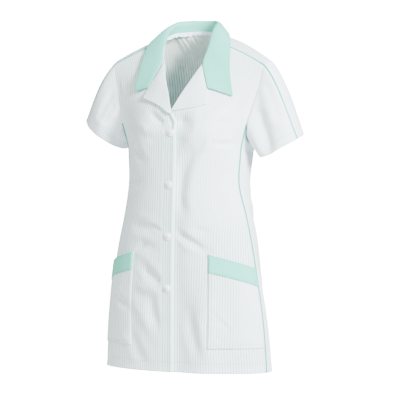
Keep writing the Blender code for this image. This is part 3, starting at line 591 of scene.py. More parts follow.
def back_above(share, level):
    """Give the back over the bust and over the shoulders to the forward seam."""
    yoke = drawn(BACK_YOKE, level)
    neck = drawn(NECK_SEAM, np.clip(ruled(BACK_YOKE, level, 1), 0, 3))
    centre = np.stack([0 * level, yoke[..., 1], yoke[..., 2]], axis=-1)
    inner = np.where((level > NECK_BACK)[..., None], neck, centre)
    outer = drawn(ARMHOLE, ruled(BACK_YOKE, level, 4))[..., :3]
    return spanned(inner, outer, share, yoke[..., 4], yoke[..., 5])


def back_shape(share, level):
    """Give the back's outer face; a share below 0 is the wearer's right half."""
    share, level = np.broadcast_arrays(np.asarray(share, float), np.asarray(level, float))
    points = joined(back_below, back_above, np.abs(share), level)
    points[..., 0] *= np.where(share < 0, -1, 1)
    return points


def back_sheet(share, level):
    """Give the back's outer face with its folds and the gathers of its neck."""
    points = back_shape(share, level)
    x, z = points[..., 0], points[..., 2]
    quiet = 1 - fade(np.abs(share), 0.88, 1.0)
    depth = soft_folds(x, z, BACK_FOLDS) * quiet * (1 - fade(level, -0.06, -0.035))
    for top_x, foot_x, foot_z, width, deep in NECK_GATHERS:
        down = np.clip((NECK_HEIGHT - z) / (NECK_HEIGHT - foot_z), 0, 1.4)
        gather = hump(x, blend(top_x, foot_x, down), width * (1 + 0.6 * down))
        depth += deep * gather * (1 - fade(down, 0.45, 1.35)) * fade(down, 0.06, 0.34)
    points[..., 1] -= depth
    return points


back_levels = evenly((HEM, RIB, 110), (RIB, BUST, 22), (BUST, NECK_BACK, 54),
                     (NECK_BACK, SHOULDER_SEAM, 30))[:, None]
half_shares = np.linspace(0, 1, 84)[None, :] ** 1.15
striped_back = poplin("striped_poplin_back", WHITE, STRIPE, sewn=[hem_stitches])
# painted shade and highlight: the wrong side is deeper and greener than the right side, for the
# shade inside the back, and its stripes fade near the neck, where it is lit
painted_shade_inside = poplin("striped_poplin_wrong_side", (0.72, 0.84, 0.79), (0.40, 0.60, 0.535),
                        painted_highlight_fade=(-1.0, 0.690))
on_yoke = back_levels[:, 0] > NECK_BACK
halves = []
for side, side_name in SIDES:
    points = back_sheet(np.maximum(half_shares, 1e-9) * side, back_levels)
    across = run_across(points, 0)
    points = pressed(points, -side, SEAM_DIP * hump(across, across[:, -1:], SEAM_WIDTH))
    points[~on_yoke, 0, 0] = 0.0
    across = run_across(points, 0)
    across[on_yoke] += np.abs(points[on_yoke, 0, 0:1])
    half = make_cloth(f"back_{side_name}_half", points, -side, across * side, striped_back,
                      wrong_side=painted_shade_inside)
    halves.append((half, points))
back_cloth = halves[0][0]
with bpy.context.temp_override(active_object=back_cloth,
                               selected_editable_objects=[half for half, _ in halves]):
    bpy.ops.object.join()
back_cloth.name = "back_cloth"
work = bmesh.new()
work.from_mesh(back_cloth.data)
middle = [vertex for vertex in work.verts if abs(vertex.co.x) < 1e-7]
bmesh.ops.remove_doubles(work, verts=middle, dist=1e-6)
work.to_mesh(back_cloth.data)
work.free()
tie(back_cloth, "white_cotton", *[f"back_{length}" for length in LENGTHS])


# ---- The side panels ---------------------------------------------------------
# A narrow panel of the striped poplin runs from each underarm to the hem. It
# gives the tunic its waist, and its front seam carries the piping.

UNDER_ARM_TUCK, TUCK_WIDTH = 0.0035, 0.007
# a paler stripe colour: painted highlight that washes the stripes out
PAINTED_HIGHLIGHT_STRIPE = (0.56, 0.70, 0.71)
# from the run across and up, to the run across and up, bow, width, depth
SIDE_FOLDS = [
    (0.045, 0.120, 0.020, 0.330, 0.006, 0.014, 0.0030),
    (0.070, 0.320, 0.020, 0.400, 0.004, 0.013, 0.0030),
    (0.016, 0.430, 0.070, 0.400, 0.004, 0.010, 0.0024),
    (0.060, 0.000, 0.050, 0.190, 0.003, 0.015, 0.0022),
]


def side_shape(share, level):
    """Give a side panel's outer face, up to the armhole's lower edge."""
    share, level = np.broadcast_arrays(np.asarray(share, float), np.asarray(level, float))

    def on_body(share, level):
        ring = drawn(BODY_RINGS, level)
        return on_ring(np.radians(blend(ring[..., 4], ring[..., 5], share)), level)

    height = np.clip((level - RIB) / (BUST - RIB), 0, 1)[..., None]
    rib = 0 * level + RIB
    foot, top = on_body(share, rib), drawn(ARMHOLE, blend(4.0, 8.0, share))[..., :3]
    front_edge = front_shape(1, 0 * share + 1, np.maximum(level, RIB))
    back_edge = back_shape(0 * share + 1, np.maximum(level, RIB))
    front_corner = blend(on_body(0 * share, rib), drawn(ARMHOLE, 4.0)[:3], height)
    back_corner = blend(on_body(0 * share + 1, rib), drawn(ARMHOLE, 8.0)[:3], height)
    wide = share[..., None]
    upper = (blend(foot, top, height) + blend(front_edge, back_edge, wide)
             - blend(front_corner, back_corner, wide))
    return np.where((level <= RIB)[..., None], on_body(share, np.minimum(level, RIB)), upper)


side_levels = evenly((HEM, RIB, 120), (RIB, BUST, 26))[:, None]
side_shares = np.linspace(0, 1, 30)[None, :]
# the side panels' stripes are washed out and their edge at the piping is a pale strip, both
# painted highlight
striped_side = poplin("striped_poplin_side", WHITE, PAINTED_HIGHLIGHT_STRIPE, sewn=[hem_stitches],
                      painted_highlight_edge=("sides", 0, 0.0050))
for side, side_name in SIDES:
    points = side_shape(side_shares, side_levels)
    across, up = run_across(points, 0), run_up(points)
    wide = across[:, -1:]
    dip = SEAM_DIP * (hump(across, 0, SEAM_WIDTH) + hump(across, wide, SEAM_WIDTH))
    tucked = 1 - fade(side_shares, 0.25, 0.50)
    dip = dip + UNDER_ARM_TUCK * tucked * hump(up, up[-1:], TUCK_WIDTH)
    quiet = fade(side_shares, 0, 0.15) * (1 - fade(side_shares, 0.85, 1))
    points = pressed(points, 1, dip + soft_folds(across, up, SIDE_FOLDS) * quiet)
    points[..., 0] *= side
    piece = make_cloth(f"side_panel_{side_name}_cloth", points, side,
                       (across - wide / 2) * side, striped_side)
    declare_cloth(piece, points, "white_cotton", f"side_panel_{side_name}")


# ---- The sleeves -------------------------------------------------------------
# Each short sleeve is cut in a front and a back half of the striped poplin.
# They meet under the arm and in the piped seam that runs on from the shoulder.

CUFF_X, CUFF_Y, CUFF_WIDTH, CUFF_DEPTH, CUFF_TURN = 0.234, 0.015, 0.050, 0.052, 0.020
# for each side the cuff's height, its tilt and how much lower it is in front
CUFFS = {1: (-0.256, 0.0235, 0.012), -1: (-0.236, 0.0325, 0.0)}
OVER_WAY, UNDER_WAY = unit(np.array((0.74, -0.05, -0.67))), np.array((0.60, 0.0, -0.80))
CUFF_WAY = unit(np.array((0.425, 0.0, -0.905)))
# how far the cloth keeps its way at the armhole and the cuff, under and over the arm
START_SPRING, END_SPRING = (0.030, 0.150), (0.035, 0.180)
SLEEVE_DIP, SLEEVE_TUCK, CUFF_ROLL, SLEEVE_SWELL = 0.0009, 0.0050, 0.0018, 0.006
SEAM_GAP, UNDER_ARM_IN, HEART_X = 0.0004, 0.0022, 0.185
# places round the armhole between which it starts and stops being under the arm
UNDER_FROM, UNDER_TO, TUCK_TO = (3.8, 4.6), (7.6, 8.4), (5.2, 6.2)
# the stripes are paler on the lit sleeve than on the shaded one: painted highlight and shade
LIT_AND_SHADED_SLEEVE_STRIPE = {1: (0.61, 0.745, 0.76), -1: (0.53, 0.68, 0.68)}

# side, place round and drop where the fold starts and ends, width, depth
SLEEVE_FOLDS = [
    (1, 2.3, 0.12, 2.95, 1.00, 0.016, 0.0125),
    (1, 2.2, 0.50, 2.2, 1.00, 0.022, 0.0060),
    (1, 5.1, 0.02, 5.6, 0.65, 0.008, 0.0080),
    (1, 3.6, 0.12, 4.6, 0.75, 0.009, 0.0030),
    (1, 1.2, 0.30, 1.6, 0.95, 0.014, 0.0024),
    (1, 0.5, 0.10, 0.9, 0.60, 0.010, 0.0020),
    (1, 10.8, 0.20, 9.6, 0.92, 0.013, 0.0038),
    (1, 9.0, 0.10, 7.6, 0.80, 0.012, 0.0032),
    (-1, 3.4, 0.10, 3.8, 1.00, 0.020, 0.0095),
    (-1, 2.6, 0.15, 2.9, 0.90, 0.014, -0.0030),
    (-1, 2.2, 0.10, 2.7, 0.55, 0.007, 0.0030),
    (-1, 1.5, 0.12, 2.2, 0.60, 0.008, 0.0030),
    (-1, 10.3, 0.25, 9.2, 0.95, 0.013, 0.0036),
    (-1, 8.6, 0.08, 7.8, 0.75, 0.011, 0.0030),
]


def sleeve_shape(side, place, drop):
    """Give the sleeve's outer face, from the armhole at 0 to the cuff at 1."""
    place, drop = np.broadcast_arrays(np.asarray(place, float), np.asarray(drop, float))
    seam = drawn(ARMHOLE, place)
    angle = np.radians(seam[..., 3])
    height, tilt, front_drop = CUFFS[side]
    cuff = np.stack([
        CUFF_X + CUFF_WIDTH * np.cos(angle), CUFF_Y - CUFF_DEPTH * np.sin(angle),
        height + tilt * np.cos(angle) - front_drop * np.sin(angle),
    ], axis=-1)
    over = ((1 + np.cos(angle - math.radians(8))) / 2)[..., None]
    way = unit(blend(UNDER_WAY, OVER_WAY, over))
    under = (fade(place, *UNDER_FROM) * (1 - fade(place, *UNDER_TO)))[..., None]
    start = seam[..., :3] + way * (SEAM_GAP - UNDER_ARM_IN * under)
    points = eased(start, cuff, way * blend(*START_SPRING, over),
                   CUFF_WAY * blend(*END_SPRING, over), drop[..., None])
    points[..., 1] -= SLEEVE_SWELL * np.sin(angle) * np.sin(math.pi * drop)
    return points


def sleeve_sheet(side, place, drop):
    """Give the sleeve's outer face with its folds, pressed towards its middle."""
    points = sleeve_shape(side, place, drop)
    heart = np.stack([
        blend(HEART_X, CUFF_X, drop) + 0 * place, CUFF_Y + 0 * place * drop, points[..., 2]
    ], axis=-1)
    depth = np.zeros(points.shape[:2])
    for fold_side, from_place, from_drop, to_place, to_drop, width, deep in SLEEVE_FOLDS:
        if fold_side == side:
            start = sleeve_shape(side, from_place, from_drop)
            run = sleeve_shape(side, to_place, to_drop) - start
            along = np.clip(((points - start) @ run) / (run @ run), 0, 1)
            away = np.linalg.norm(points - start - along[..., None] * run, axis=-1)
            depth += deep * (0.3 + 0.7 * fade(along, 0, 0.3)) * trough(away / width)
    depth = depth * fade(drop, 0.0, 0.15) * (1 - 0.5 * fade(drop, 0.80, 1.0))
    depth = depth + CUFF_ROLL * fade(drop, 0.975, 1.0)
    points = points + unit(heart - points) * depth[..., None]
    points[..., 0] *= side
    return points


sleeve_drops = np.linspace(0, 1, 64)[:, None]
for side, side_name in SIDES:
    for half, first, last, piped in (("front", 0, 6, 0), ("back", 6, 13, 1)):
        places = np.linspace(first, last, 12 * (last - first) + 1)[None, :]
        points = sleeve_sheet(side, places, sleeve_drops)
        across, down = run_across(points, 0), run_up(points)
        dip = SLEEVE_DIP * (hump(across, 0, SEAM_WIDTH) + hump(across, across[:, -1:], SEAM_WIDTH))
        tucked = fade(places, *UNDER_FROM) * (1 - fade(places, *TUCK_TO))
        points = pressed(points, side, dip + SLEEVE_TUCK * tucked * hump(down, 0, TUCK_WIDTH))
        # a pale unstriped strip of painted highlight runs beside the piping
        striped_sleeve = poplin(f"striped_poplin_sleeve_{half}_{side_name}", WHITE,
                                LIT_AND_SHADED_SLEEVE_STRIPE[side], sewn=[("ends", 1, CUFF_TURN)],
                                painted_highlight_edge=("sides", piped, 0.0045))
        piece = make_cloth(f"sleeve_{half}_{side_name}_cloth", points, side,
                           run_across(points, points.shape[1] // 2), striped_sleeve)
        declare_cloth(piece, points, "white_cotton", f"sleeve_{half}_{side_name}")


# ---- The collar --------------------------------------------------------------
# A turned-down collar of plain mint poplin. Its stand rises from the neck seam
# to the fold, and its fall hangs from the fold and ends in two points.

MINT = (0.108, 0.575, 0.455)
STAND_END, MINT_END, STAND_ROWS, RIGHT_OPENING = 4.6, 3.9, 12, 0.0055
# how far each point leans over, as x, y and z
RIGHT_LEAN, LEFT_LEAN = (0.0055, -0.0045, 0.0045), (0.0125, 0.0020, -0.0030)
# place from the centre back, fold x, y, z, outer edge x, y, z, spring
COLLAR = np.array([
    (0, 0.0000, 0.0670, 0.0335, 0.000, 0.0950, -0.027, 0.024),
    (1, 0.0330, 0.0580, 0.0335, 0.057, 0.0850, -0.016, 0.022),
    (2, 0.0530, 0.0340, 0.0300, 0.074, 0.0485, 0.0070, 0.013),
    (3, 0.0590, 0.0020, 0.0120, 0.103, 0.0040, -0.0105, 0.021),
    (4, 0.0580, -0.0200, -0.0280, 0.114, -0.0180, -0.044, 0.018),
    (5, 0.0530, -0.0355, -0.0620, 0.118, -0.0330, -0.078, 0.010),
    (6, 0.0660, -0.0515, -0.0930, 0.121, -0.0455, -0.108, 0.006),
    (7, 0.0790, -0.0620, -0.1220, 0.124, -0.0500, -0.137, 0.004),
])
COLLAR = np.concatenate([COLLAR[1:2] * (-1, -1, 1, 1, -1, 1, 1, 1), COLLAR])


def collar_fold(place):
    """Give the fold, the outer edge, and how the cloth leaves the fold."""
    row = drawn(COLLAR, np.abs(place))
    fold, edge, spring = row[..., :3], row[..., 3:6], row[..., 6:7]
    opened = RIGHT_OPENING * hump(place, -5.0, 0.8)
    fold = fold + np.stack([opened, 0 * opened, 0 * opened], axis=-1)
    start_way = (unit((edge - fold) * (1, 1, 0)) * 1.6 + (0, -0.2, 0.7)) * spring
    return fold, edge, start_way, spring


def collar_fall_sheet(place, fall):
    """Give the fall, whose two points lean off the fronts by different amounts."""
    place, fall = np.broadcast_arrays(place, fall)
    fold, edge, start_way, spring = collar_fold(place)
    points = eased(fold, edge, start_way, (edge - fold) - spring * (0, 0, 0.5), fall[..., None])
    points[..., 0] *= np.where(place < 0, -1, 1)
    lean = fade(np.abs(place), 4.0, 7.0) * fall
    way = np.where((place < 0)[..., None], RIGHT_LEAN, LEFT_LEAN)
    return points + way * lean[..., None]


def collar_stand_sheet(place, rise):
    """Give the stand, from the neck seam up to the fold."""
    place, rise = np.broadcast_arrays(place, rise)
    fold, _, start_way, _ = collar_fold(place)
    seam = drawn(NECK_SEAM, np.abs(place))
    up = fold - seam
    length = np.linalg.norm(up, axis=-1, keepdims=True)
    points = eased(seam + unit(up) * 0.001, fold, up, unit(start_way) * length * 0.9,
                   rise[..., None])
    points[..., 0] *= np.where(place < 0, -1, 1)
    return points


mint_collar = poplin("mint_poplin_collar", MINT, sewn=[("sides", 1, 0.004)])
mint_stand = poplin("mint_poplin_stand", MINT)
white_facing = poplin("white_poplin_facing", WHITE)
points = collar_fall_sheet(np.linspace(-7, 7, 168)[:, None], np.linspace(0, 1, 26)[None, :])
fall_piece = make_cloth("collar_fall_cloth", points, 1, run_across(points, 0), mint_collar, 0.0016)
declare_cloth(fall_piece, points, "mint_cotton", "collar_fall", held="folded")
stand_places = np.linspace(-STAND_END, STAND_END, 110)[:, None]
points = collar_stand_sheet(stand_places, np.linspace(0, 1, STAND_ROWS)[None, :])
stand_piece = make_cloth("collar_stand_cloth", points, -1, run_across(points, 0), mint_stand)
declare_cloth(stand_piece, points, "mint_cotton", "collar_stand", held="folded")
stand_piece.data.materials.append(white_facing)
for face in stand_piece.data.polygons:
    if abs(stand_places[face.index // (STAND_ROWS - 1), 0]) > MINT_END:
        face.material_index = 1


# ---- The neck tape -----------------------------------------------------------
# A narrow strip of white poplin covers the neck seam inside. The gathers of the
# back draw its lower edge into small waves.

TAPE_END, TAPE_DEPTH, TAPE_OFF = 3.3, 0.0095, 0.0022
tape_places = np.linspace(-TAPE_END, TAPE_END, 220)[None, :]
tape_drops = np.linspace(1, 0, 12)[:, None]
seam = drawn(NECK_SEAM, np.abs(tape_places))
seam[..., 0] *= np.where(tape_places < 0, -1, 1)
inward = unit((np.array((0.0, 0.020, 0.0)) - seam) * (1, 1, 0))
uneven = np.sin(tape_places * 9.5 + 0.6) * np.sin(tape_places * 4.1 + 1)
uneven = uneven + 0.5 * np.sin(tape_places * 21)
depth = TAPE_DEPTH * (1 - 0.55 * fade(np.abs(tape_places), 1.6, TAPE_END)) * (1 + 0.14 * uneven)
off = TAPE_OFF + tape_drops * (0.0009 * uneven - 0.0004)
points = seam + inward * off[..., None]
points[..., 2] += TAPE_OFF - tape_drops * depth
tape = make_cloth("neck_tape_cloth", points, 1, run_across(points, 75), white_facing, 0.0006)
tie(tape, "white_cotton")


# ---- The lapels --------------------------------------------------------------
# The top of each front turns out over itself. What shows is its facing of the
# same striped poplin, rolled over the fold and pressed almost flat.

# level, and how far the lapel reaches across the front
OVER_LAPEL = np.array([
    (-0.179, 0.020), (-0.167, 0.130), (-0.157, 0.260), (-0.147, 0.455), (-0.120, 0.345),
    (-0.096, 0.170), (-0.074, 0.030),
])
UNDER_LAPEL = np.array([
    (-0.1725, 0.080), (-0.170, 0.190), (-0.165, 0.320), (-0.158, 0.452), (-0.140, 0.390),
    (-0.122, 0.325), (-0.096, 0.170), (-0.074, 0.030),
])
FOLD_ROLL = 0.0017
LAPEL_LIFT, LAPEL_SWELL, LAPEL_EDGE = 0.0021, 0.0024, {1: 0.0012, -1: 0.0042}
# the lapels' stripes are washed out with painted highlight
striped_lapel = poplin("striped_poplin_lapel", (0.745, 0.885, 0.975), PAINTED_HIGHLIGHT_STRIPE)


def tilted(surface, share, level, outward):
    """Give a surface's outward direction and its way across, at each place."""
    step = 0.002
    across = surface(share + step, level) - surface(share - step, level)
    along = surface(share, level + step) - surface(share, level - step)
    return unit(np.cross(across, along) * outward), unit(across)


def lapel_sheet(side, outline, rows, columns):
    """Lay a lapel over its front, with a round roll at the fold."""
    corners = len(outline) - 1
    levels = np.interp(np.linspace(0, corners, rows), np.arange(corners + 1), outline[:, 0])
    reach = np.interp(levels, outline[:, 0], outline[:, 1])[:, None]
    wide = np.linspace(0, 1, columns)[None, :]
    shares, levels = reach * wide, levels[:, None] + 0 * wide
    base = front_shape(side, shares, levels)
    normal, across = tilted(partial(front_shape, side), shares, levels, side)
    lift = LAPEL_LIFT + LAPEL_SWELL * np.sin(math.pi * wide) * np.minimum(reach * 4, 1)
    lift = lift + LAPEL_EDGE[side] * wide**2 * (1 - fade(levels, -0.150, -0.120))
    laid = base + normal * lift[..., None]
    turn = np.linspace(-math.pi / 2, math.pi / 2, 9)[None, :-1, None]
    hub = base[:, :1] + normal[:, :1] * 0.0004
    rolled = hub + FOLD_ROLL * (normal[:, :1] * np.sin(turn) - across[:, :1] * np.cos(turn))
    return np.concatenate([rolled, laid], axis=1)


for side, side_name, outline in ((1, "left", UNDER_LAPEL), (-1, "right", OVER_LAPEL)):
    points = lapel_sheet(side, outline, 60, 24)
    piece = make_cloth(f"lapel_{side_name}_cloth", points, side, run_across(points, 0) * side,
                       striped_lapel, 0.0011)
    declare_cloth(piece, points, "white_cotton", f"lapel_{side_name}", held="folded")


# ---- The pockets -------------------------------------------------------------
# A patch pocket of striped poplin is sewn to each front, with two rows of
# stitches down its inner side and along its foot, and a broad slanted mint band
# across its mouth.

POCKET_INNER_TOP, POCKET_INNER_FOOT, POCKET_OUTER = 0.428, 0.398, 0.982
MOUTH_INNER, MOUTH_OUTER, POCKET_FOOT = -0.504, -0.540, -0.722
BAND_DEPTH, POCKET_LIFT, BAND_LIFT, POCKET_FULLNESS = 0.042, 0.0023, 0.0040, 0.0022
# the stripes fade on the outer part of the pocket on the wearer's left, as painted highlight
striped_pocket = poplin("striped_poplin_pocket", WHITE, STRIPE, sewn=[
    ("sides", 0, 0.002), ("sides", 0, 0.008), ("ends", 0, 0.002), ("ends", 0, 0.008),
], painted_highlight_fade=(0.050, -1.0))
mint_band = poplin("mint_poplin_band", MINT, sewn=[
    ("ends", 0, 0.003), ("ends", 1, 0.003), ("sides", 0, 0.003), ("sides", 1, 0.014),
])


def pocket_sheet(side, wide, below, lift):
    """Lay cloth over a front, so far below the pocket's slanted mouth."""
    mouth = blend(MOUTH_INNER, MOUTH_OUTER, wide)
    up = 1 - below / (mouth - POCKET_FOOT)
    share = blend(blend(POCKET_INNER_FOOT, POCKET_INNER_TOP, up), POCKET_OUTER, wide)
    level = mouth - below
    normal, _ = tilted(partial(front_sheet, side), share, level, side)
    lift = lift * fade(np.minimum(wide, 1 - wide), -0.02, 0.03)
    lift = lift + POCKET_FULLNESS * np.sin(math.pi * wide) * np.clip(up, 0, 1)
    return front_sheet(side, share, level) + normal * lift[..., None]


pocket_wide = np.linspace(0, 1, 44)[None, :]
pocket_deep = blend(MOUTH_INNER, MOUTH_OUTER, pocket_wide) - POCKET_FOOT
for side, side_name in SIDES:
    points = pocket_sheet(side, pocket_wide, pocket_deep * np.linspace(1, 0, 80)[:, None],
                          POCKET_LIFT)
    piece = make_cloth(f"pocket_{side_name}_cloth", points, side, run_across(points, 0) * side,
                       striped_pocket)
    declare_cloth(piece, points, "white_cotton", f"pocket_{side_name}")
    points = pocket_sheet(side, pocket_wide, np.linspace(BAND_DEPTH, 0, 18)[:, None], BAND_LIFT)
    piece = make_cloth(f"pocket_band_{side_name}_cloth", points, side, run_across(points, 0),
                       mint_band, 0.0014)
    declare_cloth(piece, points, "mint_cotton", f"pocket_band_{side_name}")


# ---- The piping --------------------------------------------------------------
# Thin cord wrapped in a bias strip of mint poplin, caught in the seam between
# front and side panel, and in the shoulder seam down the top of each sleeve.

PIPING, SIDE_LIFT, SHOULDER_LIFT = 0.0017, 0.0003, 0.0004
# painted shade: the cord is a darker mint than the collar, for the shade in the seam's ditch
painted_shade_piping = poplin("mint_poplin_piping", (0.045, 0.39, 0.32))


def make_piping(name, points, normals, node):
    """Run a round cord along a seam, with the strip's weave round it."""
    ways = unit(np.gradient(points, axis=0))
    sideways = unit(np.cross(ways, normals))
    normals = np.cross(sideways, ways)
    turn = np.linspace(0, 2 * math.pi, 13)[None, :, None]
    ring = points[:, None] + PIPING * (
        normals[:, None] * np.cos(turn) + sideways[:, None] * np.sin(turn)
    )
    mesh = grid_mesh(name, ring, -1, {"cloth": (run_across(ring, 0), run_up(ring))}, painted_shade_piping)
    work = bmesh.new()
    work.from_mesh(mesh)
    bmesh.ops.remove_doubles(work, verts=work.verts, dist=1e-6)
    bmesh.ops.holes_fill(work, edges=work.edges, sides=0)
    bmesh.ops.recalc_face_normals(work, faces=work.faces)
    work.to_mesh(mesh)
    work.free()
    mesh.shade_smooth()
    tie(place_piece(name, mesh), "mint_cotton", node)


for side, side_name in SIDES:
    levels = evenly((HEM, RIB, 110), (RIB, BUST - 0.004, 24))
    share = 0 * levels + 1.0
    normals, _ = tilted(partial(front_shape, side), share, levels, side)
    make_piping(f"side_piping_{side_name}_cord",
                front_shape(side, share, levels) + normals * SIDE_LIFT, normals,
                f"side_piping_{side_name}")

    share, drops = np.linspace(0.08, 0.99, 44), np.linspace(0.01, 0.998, 60)
    shoulder, place = 0 * share + SHOULDER_SEAM, 0 * drops
    line = np.concatenate([back_shape(share, shoulder), sleeve_shape(side, place, drops)])
    normals = np.concatenate([
        tilted(back_shape, share, shoulder, -1)[0],
        tilted(partial(sleeve_shape, side), place, drops, 1)[0],
    ])
    line = line + normals * SHOULDER_LIFT
    make_piping(f"shoulder_piping_{side_name}_cord", line * (side, 1, 1), normals * (side, 1, 1),
                f"shoulder_piping_{side_name}")


# ---- The buttons -------------------------------------------------------------
# Four glossy white polyester buttons, dished and drilled with four holes, fasten
# the wearer's right front over the left. Thread runs across each pair of holes.

BUTTON_LEVELS = [-0.224 - 0.120 * number for number in range(4)]
BUTTON_SHARES = [LAP_SHARE * place for place in (0.50, 0.44, 0.44, 0.44)]
BUTTON, BUTTON_SEAT, BUTTON_HOLE, HOLE_APART, HOLE_DEPTH = 0.0092, 0.0010, 0.0007, 0.0012, 0.0012
RIM_POINTS, HOLE_POINTS, THREAD_POINTS = 48, 12, 8
# share of the radius, and height: a low dome in the middle, and a thin rim
BUTTON_PROFILE = [
    (0.38, 0.0042), (0.45, 0.0040), (0.51, 0.0032), (0.55, 0.0022), (0.61, 0.0014),
    (0.69, 0.0012), (0.79, 0.0015), (0.90, 0.0018), (0.97, 0.0016), (1.00, 0.0010),
    (0.94, 0.0005), (0.78, 0.0003),
]
pearl = bpy.data.materials.new("pearl_white_button")
pearl.use_nodes = True
shader = pearl.node_tree.nodes["Principled BSDF"]
shader.inputs["Roughness"].default_value = 0.14
shader.inputs["Coat Weight"].default_value = 0.6
shader.inputs["Coat Roughness"].default_value = 0.05
add = partial(add_node, pearl.node_tree)
cloudy = add("TexNoise", {"Scale": 260, "Detail": 3, "Vector": add("TexCoord").outputs["Object"]})
swirl = add("Mix", {"Factor": cloudy.outputs["Fac"], "A": (0.82, 0.90, 0.88, 1),
                    "B": (0.91, 0.98, 0.95, 1)}, data_type="RGBA")
pearl.node_tree.links.new(swirl.outputs["Result"], shader.inputs["Base Color"])
sewing_thread = poplin("white_sewing_thread", (0.80, 0.83, 0.83))


def round_of(work, count, middle, wide, tall):
    """Add a closed round of points, with its two half axes given as ways."""
    turns = [2 * math.pi * number / count for number in range(count)]
    return [work.verts.new(Vector(middle) + math.cos(turn) * Vector(wide)
                           + math.sin(turn) * Vector(tall)) for turn in turns]


def flat_round(work, count, middle, radius):
    return round_of(work, count, middle, (radius, 0, 0), (0, radius, 0))


def bridge(work, rounds):
    """Join each round of points to the next with faces."""
    return [
        work.faces.new((inner[step - 1], outer[step - 1], outer[step], inner[step]))
        for inner, outer in zip(rounds, rounds[1:]) for step in range(len(inner))
    ]


def turn_button(name):
    """Turn a dished disc, drill four holes in it and lay the thread across."""
    work = bmesh.new()
    rounds = [flat_round(work, RIM_POINTS, (0, 0, height), reach * BUTTON)
              for reach, height in BUTTON_PROFILE]
    bridge(work, rounds)
    work.faces.new(rounds[-1])
    mouths = [rounds[0]]
    dish = BUTTON_PROFILE[0][1]
    for x in (-HOLE_APART, HOLE_APART):
        for y in (-HOLE_APART, HOLE_APART):
            mouth, foot = (flat_round(work, HOLE_POINTS, (x, y, dish - down), BUTTON_HOLE)
                           for down in (0, HOLE_DEPTH))
            bridge(work, [mouth, foot])
            work.faces.new(foot)
            mouths.append(mouth)
    edges = [work.edges.get((mouth[step - 1], mouth[step]))
             for mouth in mouths for step in range(len(mouth))]
    bmesh.ops.triangle_fill(work, edges=edges, use_beauty=True)
    bmesh.ops.recalc_face_normals(work, faces=work.faces)
    for y in (-HOLE_APART, HOLE_APART):
        line = [(blend(-HOLE_APART, HOLE_APART, share), y,
                 dish - 0.0006 + 0.0012 * math.sin(math.pi * share))
                for share in np.linspace(0, 1, 9)]
        loops = [round_of(work, THREAD_POINTS, middle, (0, 0.0005, 0), (0, 0, 0.0004))
                 for middle in line]
        for face in bridge(work, loops):
            face.material_index = 1
    mesh = bpy.data.meshes.new(name)
    work.to_mesh(mesh)
    work.free()
    mesh.shade_smooth()
    mesh.materials.append(pearl)
    mesh.materials.append(sewing_thread)
    return place_piece(name, mesh)


for number, (level, share) in enumerate(zip(BUTTON_LEVELS, BUTTON_SHARES), 1):
    over_front = partial(front_shape, -1)
    normal = tilted(over_front, share, level, -1)[0]
    disc = turn_button(f"button_{number}_disc")
    disc.location = Vector(over_front(share, level) + normal * BUTTON_SEAT)
    disc.rotation_mode = "QUATERNION"
    disc.rotation_quaternion = Vector(normal).to_track_quat("Z", "Y")
    tie(disc, "white_button", f"button_{number}")


# ---- The label ---------------------------------------------------------------
# A bare woven tape label lies inside the back, just below the neck seam. It is
# sewn down flat along all four of its edges.

LABEL_HALF, LABEL_FOOT, LABEL_TOP, LABEL_IN = 0.018, -0.047, -0.036, 0.0026
label_levels = np.linspace(LABEL_FOOT, LABEL_TOP, 8)[:, None]
half_width = back_shape(1.0, label_levels)[..., 0]
label_shares = np.linspace(-LABEL_HALF, LABEL_HALF, 20)[None, :] / half_width
points = pressed(back_shape(label_shares, label_levels), -1, LABEL_IN)
label_tape = poplin("white_label_tape", (0.82, 0.84, 0.84), sewn=[
    ("sides", 0, 0.0015), ("sides", 1, 0.0015), ("ends", 0, 0.0012), ("ends", 1, 0.0012),
])
label = make_cloth("neck_label_tape", points, 1, run_across(points, 0), label_tape, 0.0004)
tie(label, "label_tape", "neck_label")


# ---- Room, light and camera --------------------------------------------------
# A plain white floor that fades into a white room, soft light from above and
# from the wearer's left, and the camera of the photograph.

FLOOR_HALF, FLOOR_LEVEL = 1.3, -1.0
room_white = bpy.data.materials.new("room_white")
room_white.use_nodes = True
shader = room_white.node_tree.nodes["Principled BSDF"]
shader.inputs["Base Color"].default_value = (0.90, 0.90, 0.90, 1)
shader.inputs["Roughness"].default_value = 0.9
add = partial(add_node, room_white.node_tree)
smaller = add("Mapping", {"Vector": add("TexCoord").outputs["Object"], "Scale": (0.8, 0.8, 0.0)})
round_fade = add("TexGradient", {"Vector": smaller.outputs[0]}, gradient_type="SPHERICAL")
softer = add("MapRange", {"Value": round_fade.outputs["Fac"], "From Max": 0.6},
             interpolation_type="SMOOTHSTEP")
room_white.node_tree.links.new(softer.outputs[0], shader.inputs["Alpha"])
mesh = bpy.data.meshes.new("floor")
corners = [(FLOOR_HALF * x, FLOOR_HALF * y, 0) for x, y in ((-1, -1), (1, -1), (1, 1), (-1, 1))]
mesh.from_pydata(corners, [], [(0, 1, 2, 3)])
mesh.materials.append(room_white)
floor = place_piece("floor", mesh)
floor.location.z = FLOOR_LEVEL

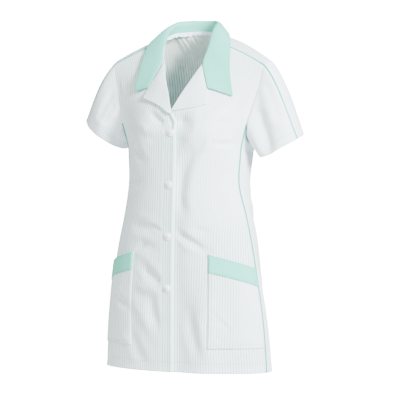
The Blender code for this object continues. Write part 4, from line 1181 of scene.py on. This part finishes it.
# the room's own light is weakest from above on the wearer's right
world = bpy.data.worlds.new("studio")
bpy.context.scene.world = world
world.use_nodes = True
room_light = world.node_tree.nodes["Background"]
room_light.inputs["Color"].default_value = (0.99, 0.99, 0.98, 1)
add = partial(add_node, world.node_tree)
side_on = add("VectorMath", {0: add("TexCoord").outputs["Generated"], 1: (-0.64, -0.20, 0.74)},
              operation="DOT_PRODUCT")
dimmed = add("MapRange", {"Value": side_on.outputs["Value"], "From Min": -0.2, "From Max": 0.9,
                          "To Min": 0.98, "To Max": 0.12})
world.node_tree.links.new(dimmed.outputs[0], room_light.inputs["Strength"])
backdrop = add("Background", {"Color": (1, 1, 1, 1), "Strength": 20})
choice = add("MixShader", {0: add("LightPath").outputs["Is Camera Ray"],
                           1: room_light.outputs[0], 2: backdrop.outputs[0]})
world.node_tree.links.new(choice.outputs[0], world.node_tree.nodes["World Output"].inputs[0])

# name, place, width, power, colour
LIGHTS = [
    ("key", (2.50, -1.30, 1.02), 0.75, 525, (1.0, 1.0, 1.0)),
    ("fill", (0.1, -1.7, 0.7), 0.9, 16, (1.0, 0.99, 0.96)),
    ("left_fill", (-2.2, -1.8, 0.1), 1.2, 70, (1.0, 0.94, 0.86)),
]
LIT_POINT = Vector((0, 0, -0.35))
for name, place, width, power, tint in LIGHTS:
    data = bpy.data.lights.new(name, "AREA")
    data.color = tint
    data.size = width
    data.energy = power
    lamp = place_piece(name, data)
    lamp.location = place
    lamp.rotation_euler = (LIT_POINT - Vector(place)).to_track_quat("-Z", "Y").to_euler()

VIEW_ANGLE, VIEW_DISTANCE, EYE_HEIGHT = math.radians(28), 6.5, -0.05
METRES_A_PIXEL, AXIS_PIXEL, ORIGIN_ROW, PIXELS = 0.00235, 190.5, 36.0, 400
right = Vector((math.cos(VIEW_ANGLE), math.sin(VIEW_ANGLE), 0))
towards = Vector((math.sin(VIEW_ANGLE), -math.cos(VIEW_ANGLE), 0))
target = right * (PIXELS / 2 - AXIS_PIXEL) * METRES_A_PIXEL
target.z = -(PIXELS / 2 - ORIGIN_ROW) * METRES_A_PIXEL
eye = target + towards * VIEW_DISTANCE
eye.z = EYE_HEIGHT
camera_data = bpy.data.cameras.new("photograph")
camera_data.sensor_width = 36.0
camera_data.lens = camera_data.sensor_width * (target - eye).length / METRES_A_PIXEL / PIXELS
camera_data.clip_end = 100
camera = place_piece("photograph", camera_data)
camera.location = eye
camera.rotation_euler = (target - eye).to_track_quat("-Z", "Y").to_euler()
bpy.context.scene.camera = camera
